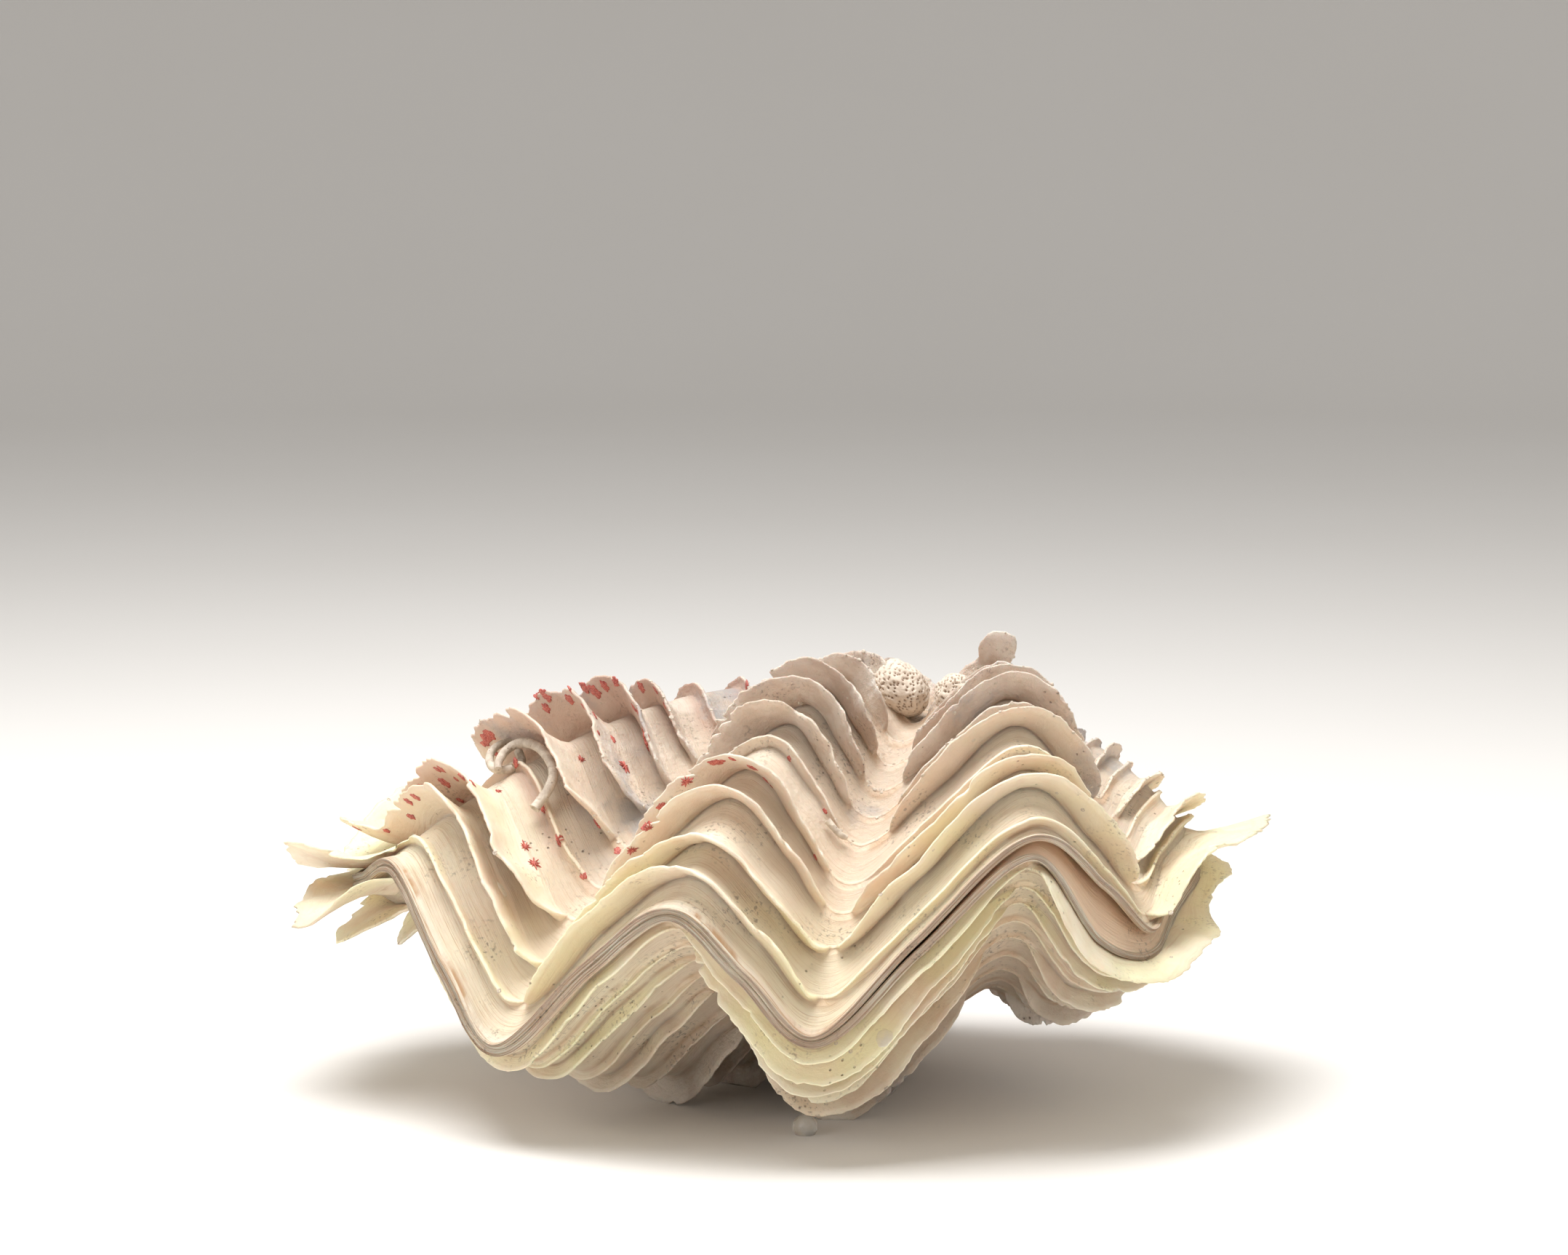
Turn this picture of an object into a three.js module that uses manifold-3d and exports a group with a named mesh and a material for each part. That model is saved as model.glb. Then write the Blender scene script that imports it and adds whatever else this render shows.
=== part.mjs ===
// Giant clam shell, both valves closed and resting on the lower one, with the small things grown on it.
// Millimetres, +Z up. +X runs along the hinge, -Y points to the wavy open edge, the floor is Z = 0.
import * as THREE from "three";
import { mergeVertices } from "three/addons/utils/BufferGeometryUtils.js";
import Module from "manifold-3d";

const wasm = await Module();
wasm.setup();

// ---- Edge of the valves ------------------------------------------------------------------------
// Both valves meet in one wavy edge. It starts at one end of the straight hinge (t = 0), runs round
// the front, and ends at the other end of the hinge (t = LAST). Knots are one unit of t apart.
const UMBO = new THREE.Vector3(60, 78, 62); // where both beaks start, on the hinge line
const EDGE_KNOTS = [
  [-48, 78, 62], [-92, 66, 66], [-118, 30, 57], [-115, 0, 62], [-104, -28, 70], [-90, -50, 48],
  [-74, -66, 28], [-49, -80, 53], [-27, -90, 70], [-8, -93, 54], [11.5, -94, 37], [38, -92, 62],
  [68, -84, 88], [88, -72, 73], [102, -57, 58], [110, -34, 68], [119, -6, 74], [112, 40, 66], [94, 78, 62],
];
const LAST = EDGE_KNOTS.length - 1;
// How far the lower valve's edge hangs below the upper one's at each knot: the shell gapes at one end.
const GAPE_KNOTS = [
  0, 0, 0, 0, 0, 0, 0, 0, 0.1, 0, 0.1, 1, 3, 13, 4.5, 8, 6, 0, 0,
].map((depth) => [depth]);

const CENTRING = [-1.05, 5.16, 0]; // moves the finished shell so that it stands centred on the origin

// ---- Growth spiral -----------------------------------------------------------------------------
// A valve at growth stage g (0 = just hatched, 1 = today) is its edge shrunk to g about the umbo and
// turned about the hinge by COIL * ln((1 + COIL_EASE) / (g + COIL_EASE)).
const COIL = 1.0;
const COIL_EASE = 0.1;
const TURN_OUT = 0.6; // share by which each column's own axis leans away from the hinge axis
const INNER_COIL = 0.55; // the inside of the wall turns by this share of the outside
const SEAM = 0.2; // each valve stops this far from the plane where they meet
const HINGE_PLATE = 4; // thickness of the wall along the hinge
const HINGE_FADE = 1.2; // units of t over which the hinge plate fades out
const EDGE_THICK = 2.0; // thickness of the wall at the open edge
const CLEAR = 0.35; // gap left between the shell and what sits on it

// ---- Lamellae: the leaf-like frills, oldest first ----------------------------------------------
// Each line is one lamella: its growth stage on each rib, its height in mm there, and how far its lip
// leans towards the edge as a share of that height. The tiny ones round the beak are left out.
const UPPER = {
  side: 1,
  gape: 0,
  ribs: [0, 4, 8, 12, 16],
  coil: [1, 0.88, 1, 1, 1],
  sway: 0,
  lamellae: [
    { stage: [0.37, 0.37, 0.36, 0.36, 0.37], tall: [4, 3, 4, 4, 2], lean: [0.6, 0.6, 0.6, 0.6, 0.6] },
    { stage: [0.46, 0.46, 0.44, 0.45, 0.46], tall: [5, 3, 6, 4, 2], lean: [0.6, 0.6, 0.6, 0.6, 0.6] },
    { stage: [0.54, 0.53, 0.505, 0.53, 0.54], tall: [6, 4, 8, 4, 3], lean: [0.6, 0.6, 0.6, 0.6, 0.6] },
    { stage: [0.62, 0.58, 0.555, 0.6, 0.61], tall: [6, 8, 12, 8, 2], lean: [0.8, 0.7, 1, 1, 0.55] },
    { stage: [0.68, 0.623, 0.605, 0.66, 0.67], tall: [7, 13, 12, 10, 4], lean: [0.8, 0.7, 1, 1, 0.55] },
    { stage: [0.74, 0.672, 0.66, 0.704, 0.73], tall: [8, 15, 10, 5, 2], lean: [0.8, 0.7, 1, 1, 0.55] },
    { stage: [0.79, 0.73, 0.71, 0.745, 0.79], tall: [8, 18, 4, 10, 6], lean: [0.8, 0.7, 1, 1, 0.55] },
    { stage: [0.84, 0.79, 0.76, 0.816, 0.84], tall: [8, 3, 11, 3, 2], lean: [0.8, 0.7, 1, 1, 0.55] },
    { stage: [0.885, 0.842, 0.81, 0.85, 0.89], tall: [9, 15, 9, 9, 11], lean: [0.8, 0.7, 1, 1, 0.55] },
    { stage: [0.93, 0.885, 0.88, 0.886, 0.93], tall: [10, 12, 9, 10, 4], lean: [0.8, 0.7, 1, 1, 0.55] },
    { stage: [0.97, 0.945, 0.93, 0.96, 0.965], tall: [11, 4, 9, 3, 14], lean: [0.8, 0.7, 1, 1, 0.55] },
  ],
  // Broad leaves on the youngest lamellae: which lamella, middle, half width in t, height, lean.
  leaves: [
    { lamella: 10, at: 2.2, half: 1.7, tall: 15, lean: 1.5 },
    { lamella: 9, at: 1.7, half: 1.3, tall: 12, lean: 1.2 },
    { lamella: 10, at: 16.2, half: 1.8, tall: 19, lean: 0.9 },
    { lamella: 1, at: 12, half: 0.6, tall: 10, lean: 0.9 },
  ],
};
const LOWER_STAGES = [0.37, 0.46, 0.54, 0.61, 0.67, 0.73, 0.79, 0.84, 0.885, 0.925, 0.965];
const LOWER_HEIGHTS = [
  [5, 5, 4, 5, 0], [5, 7, 5, 4, 0], [5, 8, 5, 6, 0], [5, 4, 6, 3, 0], [5, 9, 8, 6, 0], [5, 3, 4, 3, 0],
  [5, 6, 9, 6, 0], [5, 3, 6, 3, 0], [5, 5, 8, 6, 0], [6, 2, 9, 4, 0], [8, 5, 5, 11, 0],
];
const LOWER = {
  side: -1,
  gape: 1,
  ribs: [2, 6, 10, 14, 18],
  coil: [1, 0.74, 1, 0.82, 1],
  sway: -11, // mm by which the older front leans along the hinge
  lamellae: LOWER_STAGES.map((g, k) => ({
    stage: [g, g, g, g, g],
    tall: LOWER_HEIGHTS[k],
    lean: [0.8, 0.8, 0.8, k === 10 ? 1.2 : 0.8, 0.8],
  })),
  leaves: [
    { lamella: 10, at: 2.6, half: 1.5, tall: 15, lean: 1.4 },
    { lamella: 9, at: 2.3, half: 1.1, tall: 12, lean: 1.0 },
    { lamella: 8, at: 2.0, half: 0.8, tall: 9, lean: 0.6 },
    { lamella: 10, at: 16.0, half: 1.4, tall: 10, lean: 0.9 },
    { lamella: 9, at: 16.2, half: 1.0, tall: 8, lean: 0.8 },
  ],
};
const NARROW = 0.78; // share of the rib that an old lamella spans; the youngest span all of it
const LIP_THICK = 0.9;
const FOOT_THICK = 2.6;
const VALLEY_LIFT = 0.3; // what is left of a lamella between the ribs

// ---- Mesh resolution ---------------------------------------------------------------------------
const STEPS = 36; // columns round the edge
const INNER_STAGES = [0.98, 0.92, 0.83, 0.7, 0.54, 0.36, 0.2];
const FIRST_STAGE = 0.07;

const clamp01 = (x) => Math.min(1, Math.max(0, x));
const smooth = (x) => clamp01(x) ** 2 * (3 - 2 * clamp01(x));

// Uniform Catmull-Rom curve through knots, each a list of numbers, at parameter t.
function curveAt(knots, t) {
  const last = knots.length - 1;
  const i = Math.min(Math.floor(t), last - 1);
  const f = t - i;
  const at = (k) => knots[Math.min(Math.max(k, 0), last)];
  const before = i > 0 ? at(i - 1) : at(0).map((v, c) => 2 * v - at(1)[c]);
  const after = i + 2 <= last ? at(i + 2) : at(last).map((v, c) => 2 * v - at(last - 1)[c]);
  return at(i).map((p1, c) => {
    const p0 = before[c];
    const p2 = at(i + 1)[c];
    const p3 = after[c];
    return p1 + 0.5 * f * (p2 - p0 + f * (2 * p0 - 5 * p1 + 4 * p2 - p3 + f * (3 * (p1 - p2) + p3 - p0)));
  });
}

// Smooth blend of one value per rib along t.
function blendRibs(ribs, values, t) {
  const x = Math.min(Math.max(t, ribs[0]), ribs[ribs.length - 1]);
  let j = ribs.findIndex((r, k) => k === ribs.length - 2 || x < ribs[k + 1]);
  j = Math.max(j, 0);
  const f = smooth((x - ribs[j]) / (ribs[j + 1] - ribs[j]));
  return values[j] * (1 - f) + values[j + 1] * f;
}

// Vector from the umbo to the valve's edge at t.
function edgeReach(valve, t) {
  const [x, y, z] = curveAt(EDGE_KNOTS, t);
  const gape = valve.gape * Math.max(0, curveAt(GAPE_KNOTS, t)[0]);
  return new THREE.Vector3(x, y, z - gape).sub(UMBO);
}

// Point of the growth spiral at column t and stage g; share scales the turn.
function spiral(valve, t, g, share = 1) {
  const reach = edgeReach(valve, t);
  const azimuth = Math.atan2(reach.x, 1e-9 - reach.y);
  const sideways = clamp01(Math.abs(azimuth) / (Math.PI / 2));
  const lean = TURN_OUT * azimuth * (1 - sideways ** 6);
  const front = new THREE.Vector3(Math.sin(lean), -Math.cos(lean), 0);
  const across = new THREE.Vector3(Math.cos(lean), Math.sin(lean), 0);
  const turn = COIL * Math.log((1 + COIL_EASE) / (g + COIL_EASE));
  const angle = turn * valve.side * share * blendRibs(valve.ribs, valve.coil, t);
  const along = reach.dot(front);
  const point = across.multiplyScalar(reach.dot(across));
  point.addScaledVector(front, along * Math.cos(angle) - reach.z * Math.sin(angle));
  point.z += along * Math.sin(angle) + reach.z * Math.cos(angle);
  point.x += valve.sway * 4 * (1 - g) * clamp01(1 - Math.abs(t - 10) / 5) ** 2;
  return point.multiplyScalar(g).add(UMBO);
}

// Point, outward normal and growth direction of the smooth outside, hinge plate included.
function skin(valve, t, g) {
  const step = 2e-3;
  const along = spiral(valve, Math.min(t + step, LAST), g);
  along.sub(spiral(valve, Math.max(t - step, 0), g));
  const growth = spiral(valve, t, g + step).sub(spiral(valve, t, g - step)).normalize();
  const normal = along.cross(growth).multiplyScalar(-valve.side).normalize();
  const toEnd = Math.min(t, LAST - t) / HINGE_FADE;
  const plate = SEAM + HINGE_PLATE * (1 - smooth(toEnd)) * smooth(g / 0.2);
  const point = spiral(valve, t, g);
  point.z += valve.side * plate;
  return { point, normal, growth };
}

// Height and lean of a lamella at column t: full on its ribs, almost nothing in the valleys between.
function lamellaShape(valve, k, t) {
  const { stage, tall, lean } = valve.lamellae[k];
  const heights = valve.ribs.map((rib, j) => {
    const wide = NARROW + (1 - NARROW) * smooth((stage[j] - 0.7) / 0.25);
    const off = Math.abs(t - rib) / 2 / wide;
    return off < 1 ? tall[j] * (1 - off ** 3.4) ** 0.7 : 0;
  });
  let height = Math.max(VALLEY_LIFT, ...heights);
  let leaning = blendRibs(valve.ribs, lean, t);
  valve.leaves.filter((leaf) => leaf.lamella === k).forEach((leaf) => {
    const share = Math.max(0, 1 - Math.abs((t - leaf.at) / leaf.half) ** 2.6) ** 0.8;
    height = Math.max(height, leaf.tall * share);
    leaning = leaning * (1 - share) + leaf.lean * share;
  });
  return { height, leaning };
}

// The rows of one lamella, from its back foot over the lip to its front foot.
function lamellaColumn(valve, k, t, grow) {
  const g = blendRibs(valve.ribs, valve.lamellae[k].stage, t);
  const { height, leaning } = lamellaShape(valve, k, t);
  const { point, normal, growth } = skin(valve, t, g);
  const at = (lift, forward) => point.clone().addScaledVector(normal, lift).addScaledVector(growth, forward);
  const lip = leaning * height;
  const top = height + grow;
  return [at(grow, -grow), at(top, lip - grow), at(top, lip + LIP_THICK + grow), at(grow, FOOT_THICK + grow)];
}

// One closed profile of the wall at column t: outside, open edge, inside.
function wallColumn(valve, t, grow) {
  const first = skin(valve, t, FIRST_STAGE);
  const outside = [first.point.addScaledVector(first.normal, grow)];
  valve.lamellae.forEach((_, k) => outside.push(...lamellaColumn(valve, k, t, grow)));
  const { point, normal, growth } = skin(valve, t, 1);
  const middle = point.clone().addScaledVector(normal, 0.6 * EDGE_THICK).addScaledVector(growth, 0.5 + grow);
  const top = point.clone().addScaledVector(normal, EDGE_THICK + grow);
  const seam = (g) => {
    const p = spiral(valve, t, g, INNER_COIL);
    p.z += valve.side * (SEAM - grow);
    return p;
  };
  return [...outside, top, middle, seam(1), ...INNER_STAGES.map(seam)];
}

// Triangles that close the profile at one end of the hinge, walking out from the umbo along the
// outside and the inside of the wall together. Each entry of outline is { id, far }.
function zipProfile(outline, edgeIndex) {
  const outer = outline.slice(0, edgeIndex + 1);
  const inner = [outline[0], ...outline.slice(edgeIndex).reverse()];
  const faces = [];
  let i = 0;
  let j = 0;
  while (i < outer.length - 1 || j < inner.length - 1) {
    const takeOuter = j === inner.length - 1 || (i < outer.length - 1 && outer[i + 1].far <= inner[j + 1].far);
    if (takeOuter) faces.push([outer[i].id, outer[i + 1].id, inner[j].id]);
    else faces.push([outer[i].id, inner[j + 1].id, inner[j].id]);
    if (takeOuter) i++;
    else j++;
  }
  return faces.filter(([a, b, c]) => a !== b && b !== c && a !== c);
}

// Closed mesh from profile columns that all start and end at the pole.
function meshFromColumns(columns, pole, edgeIndex, flip) {
  const rows = columns[0].length;
  const positions = [...pole.toArray()];
  columns.forEach((column) => column.forEach((p) => positions.push(p.x, p.y, p.z)));
  const id = (c, r) => (r < 0 || r >= rows ? 0 : 1 + c * rows + r);
  const faces = [];
  const add = (a, b, c) => faces.push(...(flip ? [a, c, b] : [a, b, c]));
  for (let c = 0; c < columns.length - 1; c++) {
    add(0, id(c, 0), id(c + 1, 0));
    for (let r = 0; r < rows - 1; r++) {
      add(id(c, r), id(c, r + 1), id(c + 1, r + 1));
      add(id(c, r), id(c + 1, r + 1), id(c + 1, r));
    }
    add(0, id(c + 1, rows - 1), id(c, rows - 1));
  }
  [0, columns.length - 1].forEach((c) => {
    const outline = columns[c].map((p, r) => ({ id: id(c, r), far: Math.abs(p.x - pole.x) }));
    zipProfile([{ id: 0, far: 0 }, ...outline], edgeIndex + 1).forEach(([i, j, k]) => {
      if (c === 0) add(k, j, i);
      else add(i, j, k);
    });
  });
  return { numProp: 3, vertProperties: new Float32Array(positions), triVerts: new Uint32Array(faces) };
}

// A closed three.js geometry as a manifold-3d solid.
function toSolid(geometry) {
  const bare = geometry.clone();
  bare.deleteAttribute("normal");
  bare.deleteAttribute("uv");
  const merged = mergeVertices(bare, 1e-4);
  const vertProperties = new Float32Array(merged.attributes.position.array);
  const triVerts = new Uint32Array(merged.index.array);
  return new wasm.Manifold(new wasm.Mesh({ numProp: 3, vertProperties, triVerts }));
}

// A manifold-3d solid as a three.js geometry.
function toGeometry(solid) {
  const mesh = solid.getMesh();
  const geometry = new THREE.BufferGeometry();
  geometry.setAttribute("position", new THREE.BufferAttribute(new Float32Array(mesh.vertProperties), 3));
  geometry.setIndex(new THREE.BufferAttribute(new Uint32Array(mesh.triVerts), 1));
  geometry.computeVertexNormals();
  return geometry;
}

// The whole valve as a solid; grow swells it evenly, to cut clearances.
function valveSolid(valve, grow = 0) {
  const columns = [];
  for (let c = 0; c <= STEPS; c++) columns.push(wallColumn(valve, (c * LAST) / STEPS, grow));
  const pole = UMBO.clone();
  pole.z += valve.side * SEAM;
  const edgeIndex = columns[0].length - INNER_STAGES.length - 1;
  return new wasm.Manifold(new wasm.Mesh(meshFromColumns(columns, pole, edgeIndex, valve.side < 0)));
}

// Where something sits on a valve: column t, stage g and height above the smooth outside.
function perch(valve, t, g, lift) {
  const { point, normal } = skin(valve, t, g);
  return point.addScaledVector(normal, lift);
}

// Round solid bar along a smooth line through the given points.
function bar(points, radius, steps, sides) {
  const round = new THREE.Shape().absarc(0, 0, radius, 0, 2 * Math.PI, false);
  const path = new THREE.CatmullRomCurve3(points, false, "centripetal");
  const options = { steps, curveSegments: sides, bevelEnabled: false, extrudePath: path };
  return toSolid(new THREE.ExtrudeGeometry(round, options));
}

// Low rounded lump with the given half sizes, its short axis along the shell's normal.
function lump(valve, t, g, lift, halfSizes) {
  const ball = new THREE.SphereGeometry(1, 14, 9).scale(...halfSizes);
  const { point, normal } = skin(valve, t, g);
  const turn = new THREE.Quaternion().setFromUnitVectors(new THREE.Vector3(0, 0, 1), normal);
  ball.applyQuaternion(turn).translate(...point.addScaledVector(normal, lift).toArray());
  return toSolid(ball);
}

// The largest single body left when the given valve solids are cut away.
function cutClear(solid, ...others) {
  const left = others.reduce((rest, other) => rest.subtract(other), solid);
  return left.decompose().sort((a, b) => b.volume() - a.volume())[0];
}

// ---- Small pieces ------------------------------------------------------------------------------
const LIGAMENT = { from: -40, to: 24, proud: 3.4, tall: 3.4, gap: 0.35 }; // horny band behind the hinge
// Worm tubes: radius, and the places their middle line passes as [t, g, height above the shell].
const WORM = {
  radius: 1.35,
  steps: 20,
  perches: [
    [4.7, 0.822, 3.2], [4.62, 0.797, 3.4], [4.48, 0.786, 4], [4.25, 0.788, 5], [4.0, 0.792, 6], [3.75, 0.8, 6.4],
    [3.6, 0.815, 5.5],
  ],
};
const SMALL_WORM = { radius: 0.9, steps: 8, perches: [[9.3, 0.749, 2.2], [9.46, 0.747, 2.4], [9.68, 0.739, 2.2]] };
// Coral crusts: place and half sizes, the last one across the shell.
const CORAL = { t: 9.1, g: 0.44, lift: 3.5, half: [9, 9, 7] };
const CORAL_SMALL = { t: 11.2, g: 0.515, lift: 2, half: [5, 6, 5] };
const BEAD = { x: 9, y: -49, z: 2.2, radius: 3.6 }; // clear bead the front lamella rests on

function ligamentSolid() {
  const half = (LIGAMENT.to - LIGAMENT.from) / 2;
  const ball = new THREE.SphereGeometry(1, 12, 6).scale(half, LIGAMENT.proud, LIGAMENT.tall);
  ball.translate(LIGAMENT.from + half, UMBO.y + LIGAMENT.gap, UMBO.z);
  return toSolid(ball).trimByPlane([0, 1, 0], UMBO.y + LIGAMENT.gap);
}

const wormSolid = ({ perches, radius, steps }) => bar(perches.map((p) => perch(UPPER, ...p)), radius, steps, 5);
const coralSolid = ({ t, g, lift, half }) => lump(UPPER, t, g, lift, half);

function beadSolid() {
  const ball = new THREE.SphereGeometry(BEAD.radius, 14, 8).translate(BEAD.x, BEAD.y, BEAD.z);
  return toSolid(ball).trimByPlane([0, 0, 1], 0);
}

// ---- The part ----------------------------------------------------------------------------------
const material = (color, roughness) => new THREE.MeshStandardMaterial({ color, roughness, metalness: 0 });
const LOOK = {
  shell: material(0xe6d9bf, 0.6),
  ligament: material(0x4a2f1c, 0.55),
  tube: material(0xcfc6b4, 0.7),
  coral: material(0xcdb9a3, 0.85),
  bead: material(0xe9e6dc, 0.2),
};

const part = new THREE.Group();
part.name = "giant_clam_shell";
part.position.set(...CENTRING);

function addNode(name, solid, look) {
  const mesh = new THREE.Mesh(toGeometry(solid), look);
  mesh.name = name;
  part.add(mesh);
}

const upper = [valveSolid(UPPER), valveSolid(UPPER, CLEAR)];
const lower = [valveSolid(LOWER), valveSolid(LOWER, CLEAR)];
addNode("valve_upper", upper[0], LOOK.shell);
addNode("valve_lower", lower[0].trimByPlane([0, 0, 1], 0), LOOK.shell);
addNode("hinge_ligament", cutClear(ligamentSolid(), ...upper, ...lower), LOOK.ligament);
addNode("worm_tube", cutClear(wormSolid(WORM), ...upper), LOOK.tube);
addNode("worm_tube_small", cutClear(wormSolid(SMALL_WORM), ...upper), LOOK.tube);
addNode("coral_crust", cutClear(coralSolid(CORAL), ...upper), LOOK.coral);
addNode("coral_crust_small", cutClear(coralSolid(CORAL_SMALL), ...upper), LOOK.coral);
addNode("rest_bead", cutClear(beadSolid(), ...lower), LOOK.bead);

export default part;
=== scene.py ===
"""Giant clam shell: the looks of its two valves and of everything that has grown on them.

Everything is worked out in millimetres on the growth spiral of the shell, in the same way as the CAD solids,
and put into the scene in metres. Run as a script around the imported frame.
"""

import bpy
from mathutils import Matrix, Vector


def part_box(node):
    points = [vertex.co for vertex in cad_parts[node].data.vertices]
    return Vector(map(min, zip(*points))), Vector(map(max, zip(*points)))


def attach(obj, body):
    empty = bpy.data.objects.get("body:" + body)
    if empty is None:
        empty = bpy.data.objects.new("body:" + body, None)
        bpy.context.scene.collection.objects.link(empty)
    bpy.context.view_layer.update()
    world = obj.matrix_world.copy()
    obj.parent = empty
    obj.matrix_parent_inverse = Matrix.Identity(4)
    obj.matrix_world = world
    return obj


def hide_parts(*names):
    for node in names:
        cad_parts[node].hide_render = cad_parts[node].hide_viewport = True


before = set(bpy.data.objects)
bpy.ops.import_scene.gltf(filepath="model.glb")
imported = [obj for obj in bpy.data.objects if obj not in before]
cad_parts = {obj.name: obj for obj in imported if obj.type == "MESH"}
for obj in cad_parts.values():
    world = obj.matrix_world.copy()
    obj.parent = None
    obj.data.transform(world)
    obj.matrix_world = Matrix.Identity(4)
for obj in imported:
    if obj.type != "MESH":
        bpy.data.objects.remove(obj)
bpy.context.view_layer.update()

from types import SimpleNamespace

import bpy
import numpy as np
from bpy.props import FloatProperty, FloatVectorProperty, IntProperty, PointerProperty
from mathutils import Vector

bl_info = {
    "name": "Giant Clam Shell",
    "version": (1, 0, 0),
    "blender": (4, 5, 0),
    "location": "View3D > Sidebar > Clam Shell",
    "description": "Builds a frilled giant clam shell with the worms, corals and red discs grown on it",
    "category": "Add Mesh",
}

MM = 0.001

# ---- Shell shape, in millimetres ----
UMBO = np.array([60.0, 78.0, 62.0])  # where both beaks start, on the hinge line
# The wavy edge where the valves meet, one knot for each unit of t, from one hinge end to the other.
EDGE = np.array([
    (-48, 78, 62), (-92, 66, 66), (-118, 30, 57), (-115, 0, 62), (-104, -28, 70), (-90, -50, 48),
    (-74, -66, 28), (-49, -80, 53), (-27, -90, 70), (-8, -93, 54), (11.5, -94, 37), (38, -92, 62),
    (68, -84, 88), (88, -72, 73), (102, -57, 58), (110, -34, 68), (119, -6, 74), (112, 40, 66), (94, 78, 62),
], float)
# How far the lower valve's edge hangs below the upper one's at each knot.
GAPE = np.array([[0, 0, 0, 0, 0, 0, 0, 0, 0.1, 0, 0.1, 1, 3, 13, 4.5, 8, 6, 0, 0]], float).T
LAST = len(EDGE) - 1
COIL = 1.0  # turn of the spiral in radians for each e-fold of growth
COIL_EASE = 0.10
TURN_OUT = 0.6  # share by which each column's own axis leans away from the hinge
INNER_COIL = 0.55  # the inside of the wall turns by this share of the outside
SEAM = 0.08
HINGE_PLATE = 4.0
HINGE_FADE = 1.2
EDGE_THICK = 2.0
SILL = 8.0  # how far the lower valve's inside rises behind its edge where the shell gapes
LIP_THICK = 1.1
FOOT_THICK = 3.4
VALLEY_LIFT = 0.35
BEAD = np.array([9.0, -49.0])  # place of the clear bead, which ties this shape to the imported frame
EARLY_STAGES = (0.03, 0.09)

# Each lamella: its growth stage on each rib, its height there, and how far its lip leans to the edge.
UPPER = SimpleNamespace(
    side=1,
    gape=0,
    ribs=(0, 4, 8, 12, 16),
    coil=(1, 0.88, 1, 1, 1),
    sway=0,
    seed=0,
    stage=(
        (0.16,) * 5, (0.27,) * 5, (0.37, 0.37, 0.36, 0.36, 0.37), (0.46, 0.46, 0.44, 0.45, 0.46),
        (0.54, 0.53, 0.505, 0.53, 0.54), (0.62, 0.58, 0.555, 0.60, 0.61), (0.68, 0.623, 0.605, 0.66, 0.67),
        (0.74, 0.672, 0.66, 0.704, 0.73), (0.79, 0.73, 0.71, 0.745, 0.79), (0.84, 0.79, 0.76, 0.816, 0.84),
        (0.885, 0.842, 0.81, 0.85, 0.89), (0.93, 0.885, 0.88, 0.886, 0.93), (0.97, 0.945, 0.93, 0.96, 0.965),
    ),
    tall=(
        (2, 2, 3, 3, 3), (3, 2, 4, 4, 3), (4, 3, 4, 4, 2), (5, 3, 6, 4, 2), (6, 4, 8, 4, 3), (6, 8, 12, 8, 2),
        (7, 13, 12, 10, 4), (8, 15, 10, 5, 2), (8, 18, 4, 10, 6), (8, 3, 11, 3, 2), (9, 15, 9, 9, 11),
        (10, 12, 9, 10, 4), (11, 4, 9, 3, 14),
    ),
    lean=((0.6,) * 5,) * 5 + ((0.8, 0.7, 1, 1, 0.55),) * 8,
    # Broad leaves: lamella, middle in t, half width in t, height, lean, ruffle.
    leaves=(
        (12, 2.2, 1.7, 15, 1.5, 8), (11, 1.7, 1.3, 12, 1.2, 5), (12, 16.2, 1.8, 19, 0.9, 7),
        (3, 12.05, 0.28, 10, 0.9, 0),
    ),
)
LOWER = SimpleNamespace(
    side=-1,
    gape=1,
    ribs=(2, 6, 10, 14, 18),
    coil=(1, 0.74, 1, 0.82, 1),
    sway=-11,
    seed=100,
    stage=tuple((g,) * 5 for g in (
        0.16, 0.27, 0.37, 0.46, 0.54, 0.61, 0.67, 0.73, 0.79, 0.84, 0.885, 0.925, 0.965)),
    tall=(
        (3, 3, 3, 3, 0), (4, 4, 4, 4, 0), (5, 5, 4, 5, 0), (5, 7, 5, 4, 0), (5, 8, 5, 6, 0), (5, 4, 6, 3, 0),
        (5, 9, 8, 6, 0), (5, 3, 4, 3, 0), (5, 6, 9, 6, 0), (5, 3, 6, 3, 0), (5, 5, 8, 6, 0), (6, 2, 9, 4, 0),
        (8, 5, 5, 11, 0),
    ),
    lean=((0.8,) * 5,) * 12 + ((0.8, 0.8, 0.8, 1.2, 0.8),),
    leaves=(
        (12, 2.6, 1.5, 15, 1.4, 8), (11, 2.3, 1.1, 12, 1.0, 5), (10, 2.0, 0.8, 9, 0.6, 3),
        (12, 16.0, 1.4, 10, 0.9, 3), (11, 16.2, 1.0, 8, 0.8, 1),
    ),
)
# Rows up the back of a lamella and down its front, as shares of its height.
BACK_SHARES = (0, 0.2, 0.42, 0.64, 0.84, 0.97)
FRONT_SHARES = (0.97, 0.8, 0.58, 0.36, 0.16, 0)
# Rows over the thick edge of the wall: how high and how far forward, in edge thicknesses and in mm.
RIM_ROWS = (
    (1.25, -1.2), (1.12, 0.1), (0.98, 0.6), (0.84, 0.4), (0.68, 0.9), (0.5, 0.65), (0.3, 1.0), (0.08, 0.75),
)

# ---- What has grown on the shell ----
GRIDS = {}  # points and side of each valve once it is built, for the small pieces to sit on
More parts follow.
